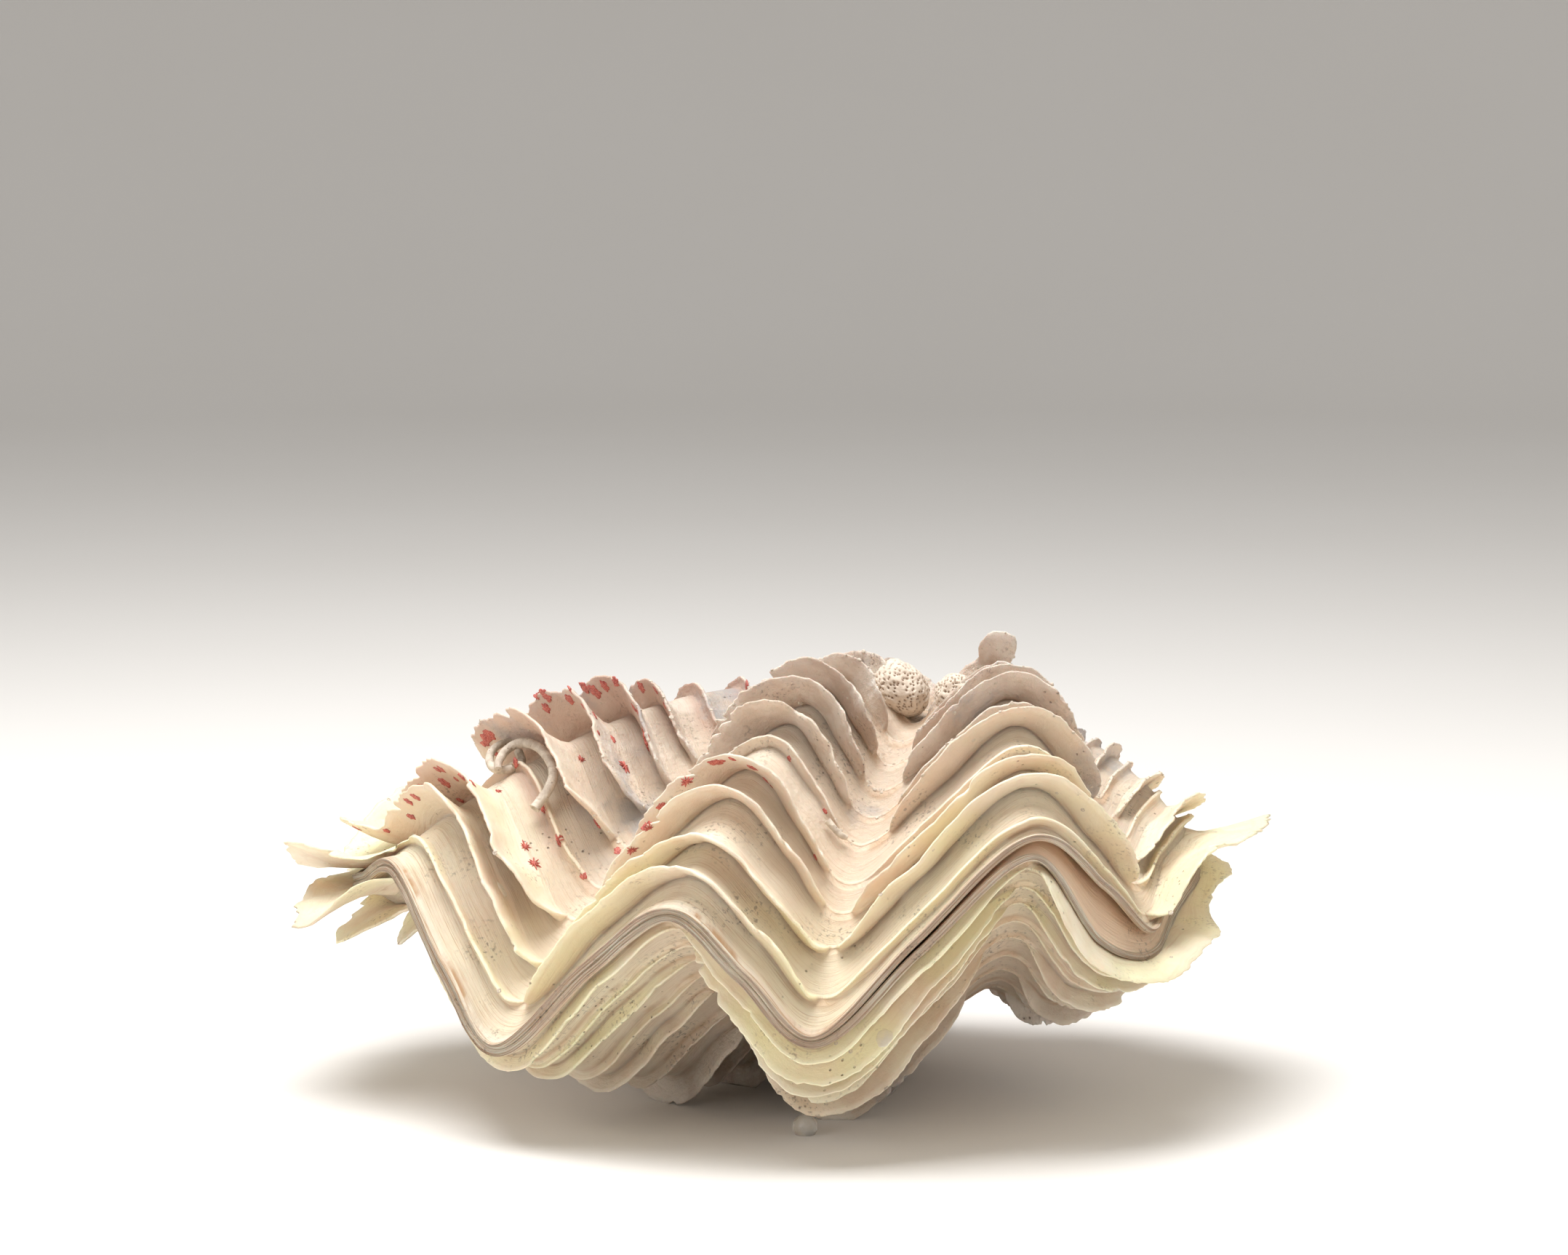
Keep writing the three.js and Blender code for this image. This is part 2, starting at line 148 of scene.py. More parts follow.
# Red discs and stars: t, lamella, row over the lamella (0 back foot, 6 lip, 12 front foot), radius.
RED_DISCS = np.array([
    (3.47, 7, 8, 1.8), (3.85, 7, 8, 2.0), (3.95, 7, 7, 1.3), (3.64, 6, 8, 2.4), (3.8, 6, 8, 1.9),
    (4.37, 6, 8, 1.3), (3.29, 8, 8, 2.6), (3.15, 8, 8, 1.5), (3.78, 10, 8, 1.9), (4.02, 10, 8, 1.8),
    (4.16, 10, 4, 1.6), (3.43, 10, 11, 1.1), (3.57, 11, 8, 1.6), (3.43, 11, 8, 1.5), (5.69, 8, 12, 1.3),
    (2.32, 11, 8, 1.8), (7.8, 9, 8, 2.2), (7.95, 9, 8, 1.5), (8.12, 9, 9, 1.7), (8.32, 9, 11, 1.2),
    (8.43, 9, 12, 1.1), (8.43, 8, 11, 0.9), (9.23, 8, 11, 0.9), (4.3, 3, 8, 1.6), (4.92, 4, 1, 1.2),
    (9.4, 9, 1, 1.1), (9.36, 9, 11, 1.1), (11.03, 7, 9, 1.0), (4.2, 7, 3, 1.6), (4.37, 7, 1, 1.6),
    (4.5, 7, 4, 1.1), (3.9, 9, 7, 1.4), (3.5, 6, 7, 1.9), (4.05, 6, 7, 1.6), (4.5, 6, 8, 1.5),
    (4.66, 6, 9, 1.2), (3.75, 5, 8, 1.9), (4.1, 5, 8, 1.4), (4.35, 5, 9, 1.2), (3.62, 7, 7, 2.2),
    (4.12, 7, 8, 1.5), (4.62, 7, 8, 1.3), (3.55, 10, 9, 2.0), (3.7, 10, 8, 1.4), (3.86, 10, 9, 1.2),
    (3.3, 10, 8, 1.6), (4.3, 10, 9, 1.1), (4.55, 10, 10, 1.0), (3.2, 11, 9, 1.5), (2.75, 11, 8, 1.3),
    (3.05, 8, 9, 1.2), (5.6, 9, 9, 1.3), (6.4, 9, 10, 1.1), (7.1, 9, 8, 1.3), (4.75, 8, 11, 1.3),
    (5.2, 10, 9, 1.2),
])
RED_STARS = np.array([
    (4.82, 7, 1, 2.7), (4.79, 7, 11, 2.3), (4.34, 8, 0, 1.8), (4.79, 10, 0, 2.3), (5.03, 10, 0, 2.7),
    (7.25, 10, 5, 2.1), (6.94, 10, 8, 1.8), (7.46, 9, 8, 2.0), (4.02, 10, 0, 1.4), (3.5, 7, 5, 1.9),
    (4.7, 6, 11, 2.4), (4.9, 6, 8, 2.0), (5.05, 9, 9, 2.2), (4.6, 9, 11, 1.9), (5.3, 8, 10, 1.8),
])
WORM_RADIUS = 1.35
# Knots of the worm tubes: tail first, open mouth last.
WORM_KNOTS = (
    (-77, -6, 94), (-77, -3, 96), (-75, 3, 98.5), (-71, 3, 100.5), (-66, -4, 100.5), (-62.5, -10, 98),
    (-61, -15, 94.5), (-62.5, -19, 90.5), (-66, -22, 86),
)
COILED_WORM_KNOTS = (
    (-70, 14, 99), (-75, 12, 99.5), (-79, 8, 98), (-80, 3, 95.5), (-78, -1, 93.5), (-74, 0, 93.5),
    (-71, 4, 95), (-72, 8, 97),
)
SMALL_WORM_PERCHES = ((9.68, 0.739, 2.2), (9.56, 0.745, 2.4), (9.46, 0.747, 2.4), (9.3, 0.749, 2.2))
CORAL = (9.1, 0.44, 3.5, (9, 9, 7), 1.5, 3)
SMALL_CORAL = (11.2, 0.515, 2.0, (5, 6, 5), 1.15, 8)
LIGAMENT = {"from": -40.0, "to": 24.0, "proud": 3.4, "tall": 3.4, "gap": 0.35}
BEAD_RADIUS = 3.6
CLEAR_SCALES = (("upper_shell", 4.99, 11, 1, 3.0), ("lower_shell", 10.54, 11, 8, 2.5))


# ---- Curves, blends and roughness ----
def smooth(x):
    """Rises from 0 to 1 as three x squared minus two x cubed, and stays level outside."""
    x = np.clip(x, 0, 1)
    return x * x * (3 - 2 * x)


def unit(vectors):
    """Each vector divided by its own length."""
    return vectors / (np.linalg.norm(vectors, axis=-1, keepdims=True) + 1e-12)


def all_round(sides):
    """Evenly spaced angles once round a circle."""
    return np.linspace(0, 2 * np.pi, sides, endpoint=False)


def spline(knots, t):
    """Catmull-Rom curve through the knots, one knot for each unit of t, with its ends carried on straight."""
    knots = np.asarray(knots, float)
    last = len(knots) - 1
    t = np.asarray(t, float)
    i = np.clip(np.floor(t).astype(int), 0, last - 1)
    f = (t - i)[..., None]
    long = np.concatenate([2 * knots[:1] - knots[1:2], knots, 2 * knots[-1:] - knots[-2:-1]])
    a, b, c, d = long[i], long[i + 1], long[i + 2], long[i + 3]
    return b + 0.5 * f * (c - a + f * (2 * a - 5 * b + 4 * c - d + f * (3 * (b - c) + d - a)))


def blend_ribs(ribs, values, t):
    """Goes smoothly from each rib's value to the next rib's along t."""
    values, ribs = np.asarray(values, float), np.asarray(ribs, float)
    x = np.clip(t, ribs[0], ribs[-1])
    j = np.clip(np.searchsorted(ribs, x, side="right") - 1, 0, len(ribs) - 2)
    f = smooth((x - ribs[j]) / (ribs[j + 1] - ribs[j]))
    return values[j] * (1 - f) + values[j + 1] * f


def scatter(n, seed):
    """A number from -1 to 1 for each whole number n: the far decimals of a large sine."""
    v = np.sin(n * 127.1 + seed * 311.7) * 43758.5453
    return 2 * (v - np.floor(v)) - 1


def rough(x, seed):
    """Three octaves of smoothed random steps along x, each half as strong and about twice as fine."""
    total = 0
    for octave, weight in enumerate((0.5714, 0.2857, 0.1429)):
        place = x * 2.03**octave
        step = np.floor(place)
        f = smooth(place - step)
        own = seed + 17.3 * octave
        total = total + weight * (scatter(step, own) * (1 - f) + scatter(step + 1, own) * f)
    return total


def grit(points, cell, seed):
    """Random lumps in space: eight random corners of each cell-sized cube, blended smoothly."""
    place = points / cell
    base = np.floor(place)
    f = smooth(place - base)
    total = 0
    for corner in np.ndindex(2, 2, 2):
        n = (base + corner) @ np.array([1.0, 57.3, 113.7])
        weight = np.prod(np.where(np.array(corner) == 1, f, 1 - f), axis=-1)
        total = total + scatter(n, seed) * weight
    return total


# ---- The growth spiral ----
def reach(valve, t):
    """From the umbo to the valve's edge at t; the lower valve's edge drops by the gape."""
    ray = spline(EDGE, t)
    ray[..., 2] -= valve.gape * np.maximum(spline(GAPE, t)[..., 0], 0)
    return ray - UMBO


def spiral(valve, t, g, share=1.0):
    """The edge shrunk to growth stage g about the umbo, and turned about a leaning hinge axis by the
    coil times the logarithm of how much the shell has grown since."""
    ray = reach(valve, t)
    azimuth = np.arctan2(ray[..., 0], 1e-9 - ray[..., 1])
    sideways = np.clip(np.abs(azimuth) / (np.pi / 2), 0, 1)
    lean = TURN_OUT * azimuth * (1 - sideways**6)
    sin_lean, cos_lean = np.sin(lean), np.cos(lean)
    along = ray[..., 0] * sin_lean - ray[..., 1] * cos_lean
    across = ray[..., 0] * cos_lean + ray[..., 1] * sin_lean
    turn = COIL * np.log((1 + COIL_EASE) / (g + COIL_EASE)) * blend_ribs(valve.ribs, valve.coil, t)
    turn = turn * valve.side * share
    out = along * np.cos(turn) - ray[..., 2] * np.sin(turn)
    up = along * np.sin(turn) + ray[..., 2] * np.cos(turn)
    turned = np.stack([across * cos_lean + out * sin_lean, across * sin_lean - out * cos_lean, up], -1)
    middle = np.clip(1 - np.abs(t - 10) / 5, 0, 1) ** 2
    turned[..., 0] += valve.sway * 4 * (1 - g) * middle
    return UMBO + np.asarray(g)[..., None] * turned


def skin(valve, t, g):
    """Point, outward normal and growth direction of the smooth outside, from small steps along t and g."""
    step = 2e-3
    along = spiral(valve, np.minimum(t + step, LAST), g) - spiral(valve, np.maximum(t - step, 0), g)
    growth = unit(spiral(valve, t, g + step) - spiral(valve, t, g - step))
    normal = unit(np.cross(along, growth) * -valve.side)
    fade = 1 - smooth(np.minimum(t, LAST - t) / HINGE_FADE)
    point = spiral(valve, t, g)
    point[..., 2] += valve.side * (SEAM + HINGE_PLATE * fade * smooth(np.asarray(g) / 0.2))
    return point, normal, growth


def lamella_shape(valve, k, t):
    """Height, raggedness, lean and ruffle of lamella k along t: a flat-topped bump on each rib and on
    each leaf, with a wandering height, and fine teeth and a few bites that only the lip has."""
    seed = valve.seed
    height = np.zeros_like(t)
    lean = blend_ribs(valve.ribs, valve.lean[k], t)
    for j, rib in enumerate(valve.ribs):
        wide = 0.78 + 0.22 * smooth((valve.stage[k][j] - 0.7) / 0.25)
        off = np.abs((t - rib) / 2 / wide + 0.06 * rough(t * 0.9 + k, seed + j))
        height = np.maximum(height, valve.tall[k][j] * np.clip(1 - off**3.4, 0, 1) ** 0.7)
    ruffle = np.zeros_like(t)
    for lamella, middle, half, tall, leaf_lean, waves in valve.leaves:
        if lamella == k:
            share = np.clip(1 - np.abs((t - middle) / half) ** 2.6, 0, 1) ** 0.8
            height = np.maximum(height, tall * share)
            lean = lean * (1 - share) + leaf_lean * share
            ruffle = ruffle + waves * share * np.sin(2 * np.pi * (t - middle) / 1.8)
    own = seed + 11 * k
    bites = np.clip(rough(t * 5.3, own + 3) - 0.42, 0, 1)
    teeth = 0.05 * rough(t * 9, own + 2) + 0.045 * rough(t * 40, own + 4)
    height = np.maximum(height * (1 + 0.2 * rough(t, own + 1)), VALLEY_LIFT)
    lean = lean + 0.22 * rough(t * 0.8, own + 5)
    ruffle = ruffle + 0.12 * height * rough(t * 2.2, own + 8)
    return height, height * (teeth - 0.8 * bites), lean, ruffle


def lamella_rows(valve, k, t):
    """Rows of points up the back of lamella k, over its lip and down its front, and one row on the band
    before the next lamella. A point at share s of the height h stands h times s to the 1.25 off the
    shell, and forward by the lean times s to the 0.85."""
    seed = valve.seed
    g = blend_ribs(valve.ribs, valve.stage[k], t)
    g = g + (0.003 + 0.006 * smooth((t % 4) / 2)) * rough(t * 1.1 + k * 3.7, seed + 71 + k)
    height, ragged, lean, ruffle = lamella_shape(valve, k, t)
    point, normal, growth = skin(valve, t, g)
    wave = 1.3 * rough(t * 2.6 + k, seed + 51 + k) + 0.35 * rough(t * 8 + k, seed + 61)
    wave = wave * np.minimum(height / 7, 1)
    back = [(s, 0.0, 0.0) for s in BACK_SHARES]
    front = [(s, LIP_THICK + (FOOT_THICK - LIP_THICK) * (1 - s) ** 2, 1.0) for s in FRONT_SHARES]
    rows = []
    for s, thick, face in [*back, (1.0, LIP_THICK / 2, 0.5), *front]:
        tall = height + ragged * s**3
        forward = lean * tall * s**0.85 + wave * s + thick
        place = point + normal * (tall * s**1.25 + ruffle * s**2)[:, None] + growth * forward[:, None]
        rows.append((place, normal, s * np.minimum(height / 4, 1), g, face, k))
    last = k == len(valve.stage) - 1
    ahead = np.ones_like(t) if last else blend_ribs(valve.ribs, valve.stage[k + 1], t)
    middle = (rows[-1][0] + skin(valve, t, ahead)[0]) / 2
    rows.append((middle, normal, np.zeros_like(t), (g + ahead) / 2, 0.5, k))
    return rows


def valve_rows(valve, t):
    """All rows of a valve, from the beak over the lamellae and the thick edge, then back along the
    inside, each with its normals, lip share, growth stage, face number and partner row inside."""
    flat = np.zeros_like(t)
    one = np.ones_like(t)
    lamellae = len(valve.stage)
    rows = []
    for g in EARLY_STAGES:
        point, normal, _ = skin(valve, t, g * one)
        rows.append((point, normal, flat, g * one, 0.0, -1))
    for k in range(lamellae):
        rows.extend(lamella_rows(valve, k, t))
    point, normal, growth = skin(valve, t, one)
    outward = unit(reach(valve, t))
    wander = 0.25 * rough(t * 3, valve.seed + 5)
    for i, (lift, forward) in enumerate(RIM_ROWS):
        place = point + normal * EDGE_THICK * lift + outward * (forward + wander)[:, None]
        rows.append((place, normal, one * i / (len(RIM_ROWS) - 1), one, 2.0, lamellae))
    outside = len(rows)
    gape = valve.gape * np.maximum(spline(GAPE, t)[:, 0], 0)
    for k in range(lamellae, -1, -1):
        g = 1.002 * one if k == lamellae else blend_ribs(valve.ribs, valve.stage[k], t)
        inner = spiral(valve, t, g, INNER_COIL)
        sill = (gape + SILL * smooth(gape / 4)) * smooth((1 - g) / 0.06) * smooth((g - 0.55) / 0.3)
        inner[:, 2] += valve.side * SEAM + sill
        rows.append((inner, flat[:, None] * inner, flat, g, 3.0, k))
    return rows, outside


def weathered(points, normals, age, face):
    """Moves the outside in and out by random lumps, about a quarter of a millimetre, more on old shell."""
    old = (1 - smooth((age - 0.35) / 0.6)) * (face < 1.5)
    lumps = 0.12 + 0.30 * old
    fine = 0.02 + 0.12 * old
    push = lumps * grit(points, 5.3, 3) + fine * grit(points, 1.9, 9)
    return points + normals * (push * (face < 2.5))[..., None]


# ---- Meshes ----
def offset():
    """From this file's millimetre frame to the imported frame: the bead's box middle ties the two."""
    low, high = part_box("rest_bead")
    middle = (np.array(low) + np.array(high)) / 2 / MM
    return np.array([middle[0] - BEAD[0], middle[1] - BEAD[1], 0.0])


def add_piece(name, points, faces, material, slot, *nodes, **values):
    """Makes one mesh piece from points in millimetres and faces, with a value for each point under each
    given name, ties it to the frame and hides the CAD nodes that it stands for."""
    mesh = bpy.data.meshes.new(name)
    mesh.from_pydata(((points + offset()) * MM).tolist(), [], faces)
    for key, value in values.items():
        layer = mesh.attributes.new(key, "FLOAT", "POINT")
        layer.data.foreach_set("value", np.ravel(value).astype(np.float32))
    mesh.polygons.foreach_set("use_smooth", np.ones(len(mesh.polygons), bool))
    mesh.materials.append(material)
    mesh.update()
    piece = bpy.data.objects.new(name, mesh)
    bpy.context.scene.collection.objects.link(piece)
    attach(piece, "root")
    if nodes:
        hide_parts(*nodes)
    return piece


def site(name, t, lamella, row):
    """Points on a built valve, with directions along the edge, up the frill and straight out. Rows of a
    lamella count from 0 at its back foot over 6 at the lip to 12 at its front foot."""
    points, side = GRIDS[name]
    t, lamella, row = (np.asarray(x) for x in (t, lamella, row))
    column = np.clip(np.rint(t / LAST * (points.shape[1] - 1)).astype(int), 1, points.shape[1] - 2)
    r = len(EARLY_STAGES) + lamella * (len(BACK_SHARES) + 2 + len(FRONT_SHARES)) + row
    along = unit(points[r, column + 1] - points[r, column - 1])
    normal = unit(np.cross(along, points[r + 1, column] - points[r - 1, column])) * side
    return points[r, column], along, np.cross(normal, along), normal


def ring_faces(count, rows, sides):
    """Faces of count closed forms, each made of a pole, rows of rings and another pole."""
    each = rows * sides + 2
    ring = 1 + np.arange(rows * sides).reshape(rows, sides)
    turned = np.roll(ring, -1, axis=1)
    quads = np.stack([ring[:-1], ring[1:], turned[1:], turned[:-1]], -1).reshape(-1, 4)
    first = np.stack([np.zeros(sides, int), ring[0], turned[0]], -1)
    last = np.stack([np.full(sides, each - 1), turned[-1], ring[-1]], -1)
    shift = (np.arange(count) * each)[:, None, None]
    triangles = np.concatenate([first, last])
    return (quads + shift).reshape(-1, 4).tolist() + (triangles + shift).reshape(-1, 3).tolist()


def closed_forms(rings, first, last):
    """Puts rings of points, given as form, row, side and place, between their two poles."""
    count, rows, sides, _ = rings.shape
    points = np.concatenate([first[:, None], rings.reshape(count, -1, 3), last[:, None]], 1)
    return points.reshape(-1, 3), ring_faces(count, rows, sides)


def joined(*forms):
    """Several (points, faces) as one."""
    starts = np.cumsum([0] + [len(points) for points, _ in forms])
    faces = [[corner + start for corner in face] for (_, some), start in zip(forms, starts) for face in some]
    return np.concatenate([points for points, _ in forms]), faces


def patches(places, radius, dome, outline, rows=9, sides=28, under=0.5):
    """Closed lumps lying on the shell. At share u from top to underside and angle v a point is
    radius times outline of v times sine of pi u outwards, and dome times cosine of pi u upwards."""
    place, along, across, normal = (x[:, None, None] for x in places)
    u = np.linspace(0, np.pi, rows + 2)[1:-1][None, :, None]
    v = all_round(sides)[None, None, :]
    out = radius[:, None, None] * outline(v) * np.sin(u) ** 0.8
    up = dome[:, None, None] * np.cos(u) * np.where(np.cos(u) < 0, under, 1) + 0 * v
    rings = place + out[..., None] * (np.cos(v)[..., None] * along + np.sin(v)[..., None] * across)
    rings = rings + up[..., None] * normal
    top = (place + dome[:, None, None, None] * normal)[:, 0, 0]
    bottom = (place - under * dome[:, None, None, None] * normal)[:, 0, 0]
    return closed_forms(rings, top, bottom)


def tube(knots, radius, reference, rings, rows, sides=18):
    """Hollow worm tube along a smooth path: growth rings swell its radius like saw teeth, its tail
    tapers to a point, and at its flared mouth it turns in and goes back down the bore."""
    knots = np.asarray(knots, float)
    s = np.concatenate([np.linspace(0, 1, rows), np.linspace(1, 0.88, 8)])
    bore = np.arange(len(s)) >= rows
    path = spline(knots, s * (len(knots) - 1))
    ahead = spline(knots, np.clip(s + 0.002, 0, 1) * (len(knots) - 1))
    behind = spline(knots, np.clip(s - 0.002, 0, 1) * (len(knots) - 1))
    tangent = unit(ahead - behind)
    side = unit(np.cross(tangent, np.asarray(reference, float)))
    upward = np.cross(side, tangent)
    saw = (s * rings + 0.3 * rough(s * rings, 4)) % 1
    swell = (0.80 + 0.2 * smooth(s / 0.5)) * (1 + 0.07 * saw + 0.10 * smooth((s - 0.97) / 0.03))
    wide = radius * np.where(bore, 0.66, swell) * smooth((s + 0.01) / 0.03)
    v = all_round(sides)
    flat = 0 * s[:, None]
    around = np.stack([s[:, None] * rings + 0 * v, np.cos(v) + flat, np.sin(v) + flat], -1)
    lumpy = 1 + 0.05 * grit(around, 0.7, 5)
    rings_out = path[:, None] + (wide[:, None] * lumpy)[..., None] * (
        np.cos(v)[None, :, None] * side[:, None] + np.sin(v)[None, :, None] * upward[:, None])
    return closed_forms(rings_out[None], path[:1], path[-1:])


def coils(places, size, turns=1.7, rows=26, sides=8):
    """Tiny worm tubes coiled flat on the shell: a tube that widens along a widening spiral."""
    place, along, across, normal = (x[:, None] for x in places)
    share = np.linspace(0, 1, rows)[None, :, None]
    angle = share * turns * 2 * np.pi
    size = size[:, None, None]
    radial = np.cos(angle) * along + np.sin(angle) * across
    thick = size * (0.14 + 0.16 * share)
    path = place + radial * size * (0.22 + 0.6 * share) + normal * thick * 0.7
    v = all_round(sides)[None, None, :, None]
    normals = np.broadcast_to(normal, radial.shape)[:, :, None]
    rings = path[:, :, None] + thick[:, :, None] * (np.cos(v) * radial[:, :, None] + np.sin(v) * normals)
    return closed_forms(rings, path[:, 0], path[:, -1])


def round_ball(polar, azimuth):
    """Points of a ball of radius 1 from their angles off its pole and round it."""
    out = np.sin(polar)
    return np.stack([out * np.cos(azimuth), out * np.sin(azimuth), np.cos(polar) + 0 * azimuth], -1)


def honeycomb(t, g, lift, half_sizes, pitch, seed):
    """Coral crust: a dome with the given half sizes standing on the upper valve, its surface pushed in
    at evenly scattered pits and left high between them."""
    place, normal, growth = (x[0] for x in skin(UPPER, np.array([t]), np.array([g])))
    along = np.cross(growth, normal)
    polar = np.linspace(0, np.pi, 112)[1:-1][:, None]
    azimuth = all_round(190)[None, :]
    ball = round_ball(polar, azimuth)
    count = int(4 * np.pi * half_sizes[0] * half_sizes[1] / pitch**2)
    i = np.arange(count) + 0.5
    height = 1 - 2 * i / count
    around = i * np.pi * (3 - 5**0.5) + 0.25 * scatter(i, seed)
    ring = np.sqrt(1 - height**2)
    pits = np.stack([ring * np.cos(around), ring * np.sin(around), height], -1)
    closest = np.max(ball.reshape(-1, 3) @ pits.T, axis=1).reshape(ball.shape[:2])
    near = np.sqrt(np.maximum(2 - 2 * closest, 0))
    depth = 1 - smooth(near * half_sizes[0] / (pitch * 0.42))
    half = np.array(half_sizes, float)
    scale = 1 + 0.12 * grit(ball * half, half_sizes[0] * 0.45, seed) + 0.03 * grit(ball * half, 1.3, seed + 2)
    body = ball * half * (scale - depth * 0.7 / half_sizes[0])[..., None]
    axes = np.stack([growth, along, normal])
    rings = place + normal * lift + body @ axes
    poles = place + normal * lift + np.array([[0, 0, half[2]], [0, 0, -half[2]]]) @ axes
    points, faces = closed_forms(rings[None], poles[:1], poles[1:])
    return points, faces, np.concatenate([[0], depth.ravel(), [0]])


def valve_faces(rows, columns, outside, partner):
    """Quads between neighbouring rows and columns, fans to the beak, and at both hinge ends a strip
    from each outside row to its partner row inside. The beak is the last point."""
    index = np.arange(rows * columns).reshape(rows, columns)
    beak = rows * columns
    quads = np.stack([index[:-1, :-1], index[:-1, 1:], index[1:, 1:], index[1:, :-1]], -1).reshape(-1, 4)
    tip = np.full(columns - 1, beak)
    first, last = index[0], index[-1]
    triangles = np.concatenate([
        np.stack([tip, first[1:], first[:-1]], -1), np.stack([tip, last[:-1], last[1:]], -1)])
    for column, turned in ((0, False), (columns - 1, True)):
        inner_row = rows - 1 - partner
        inside = np.where(partner < 0, beak, index[np.clip(inner_row, 0, rows - 1), column])
        out = index[:outside, column]
        strip = np.stack([inside[:-1], out[:-1], out[1:]], -1)
        steps = np.stack([inside[:-1], out[1:], inside[1:]], -1)[inside[1:] != inside[:-1]]
        cap = np.concatenate([[[beak, out[0], out[1]]], strip[1:], steps])
        triangles = np.concatenate([triangles, cap[:, ::-1] if turned else cap])
    return quads.tolist() + triangles.tolist()


def build_valve(name, valve, node, slot, material, columns):
    """One valve as a closed grid of rows over columns, flattened where it stands on the floor."""
    t = np.linspace(0, LAST, columns)
    rows, outside = valve_rows(valve, t)
    points = np.stack([row[0] for row in rows])
    normals = np.stack([row[1] for row in rows])
    lip = np.stack([row[2] for row in rows])
    age = np.stack([row[3] for row in rows])
    face = np.stack([np.full(columns, row[4]) for row in rows])
    points = weathered(points, normals, age, face)
    if valve.side < 0:
        points[..., 2] = np.maximum(points[..., 2], 0)
    GRIDS[name] = (points, valve.side)
    faces = valve_faces(len(rows), columns, outside, np.array([row[5] for row in rows[:outside]]))
    if valve.side < 0:
        faces = [corners[::-1] for corners in faces]
    beak = UMBO + [0, 0, valve.side * SEAM]
    fold = 0.5 - 0.5 * np.cos(np.pi * (np.broadcast_to(t, lip.shape) - valve.ribs[0]) / 2)
    values = {"lip": lip, "age": age, "face": face, "fold": fold, "turn": np.broadcast_to(t, lip.shape)}
    values = {key: np.append(value, 0) for key, value in values.items()}
    return add_piece(name, np.append(points.reshape(-1, 3), [beak], 0), faces, material, slot, node, **values)


# ---- Materials ----
class Finish:
    """One node material: makes nodes, joins their sockets and sets plain numbers on them."""

    def __init__(self, name, roughness):
        self.material = bpy.data.materials.new(name)
        self.material.use_nodes = True
        self.tree = self.material.node_tree
        self.shader = self.tree.nodes["Principled BSDF"]
        self.shader.inputs["Roughness"].default_value = roughness

    def node(self, kind):
        """A new node of the given kind."""
        return self.tree.nodes.new("ShaderNode" + kind)

    def set(self, socket, value):
        """Joins a node's output to a socket, or sets a plain number or colour on it."""
        if isinstance(value, bpy.types.NodeSocket):
            self.tree.links.new(value, socket)
        elif socket.type == "RGBA":
            socket.default_value = (*value, 1)
        else:
            socket.default_value = value

    def value(self, name):
        """The named value that each point of the piece carries."""
        node = self.node("Attribute")
        node.attribute_name = name
        return node.outputs["Fac"]

    def place(self):
        """Where a point is on the piece, in metres."""
        return self.node("TexCoord").outputs["Object"]

    def maths(self, operation, a, b=0.0):
        """One sum on two numbers."""
        node = self.node("Math")
        node.operation = operation
        self.set(node.inputs[0], a)
        self.set(node.inputs[1], b)
        return node.outputs[0]

    def times(self, first, *others):
        """Product of several numbers."""
        for other in others:
            first = self.maths("MULTIPLY", first, other)
        return first

    def fall(self, value, low, high):
        """Goes smoothly from 1 to 0 as the value goes from low to high."""
        return self.between(value, low, high, 1.0, 0.0)

    def between(self, value, low, high, least=0.0, most=1.0):
        """Goes smoothly from least to most as the value goes from low to high."""
        node = self.node("MapRange")
        node.interpolation_type = "SMOOTHSTEP"
        for socket, number in zip(node.inputs[:5], (value, low, high, least, most)):
            self.set(socket, number)
        return node.outputs[0]

    def vector(self, x, y, z=0.0):
        """Three numbers as one place."""
        node = self.node("CombineXYZ")
        for socket, number in zip(node.inputs, (x, y, z)):
            self.set(socket, number)
        return node.outputs[0]

    def cloud(self, scale, detail=3.0, place=None, rough=0.55):
        """Cloudy noise from 0 to 1."""
        node = self.node("TexNoise")
        self.set(node.inputs["Vector"], place or self.place())
        self.set(node.inputs["Scale"], scale)
        self.set(node.inputs["Detail"], detail)
        self.set(node.inputs["Roughness"], rough)
        return node.outputs["Fac"]

    def cells(self, scale, place=None):
        """Distance to the nearest of many scattered points, and a random number for each of them."""
        node = self.node("TexVoronoi")
        self.set(node.inputs["Vector"], place or self.place())
        self.set(node.inputs["Scale"], scale)
        split = self.node("SeparateColor")
        self.set(split.inputs[0], node.outputs["Color"])
        return node.outputs["Distance"], split.outputs[0]

    def mix(self, share, a, b):
        """Colour a turning to colour b."""
        node = self.node("Mix")
        node.data_type = "RGBA"
        self.set(node.inputs["Factor"], share)
        self.set(node.inputs[6], a)
        self.set(node.inputs[7], b)
        return node.outputs[2]

    def finish(self, colour, height=None, distance=0.0004, roughness=None, constants=None):
        """Joins colour, bump height and roughness to the shader and sets its other numbers."""
        self.set(self.shader.inputs["Base Color"], colour)
        if roughness is not None:
            self.set(self.shader.inputs["Roughness"], roughness)
        if height is not None:
            bump = self.node("Bump")
            bump.inputs["Strength"].default_value = 1.0
            bump.inputs["Distance"].default_value = distance
            self.set(bump.inputs["Height"], height)
            self.set(self.shader.inputs["Normal"], bump.outputs[0])
        for name, number in (constants or {}).items():
            self.shader.inputs[name].default_value = number
        return self.material


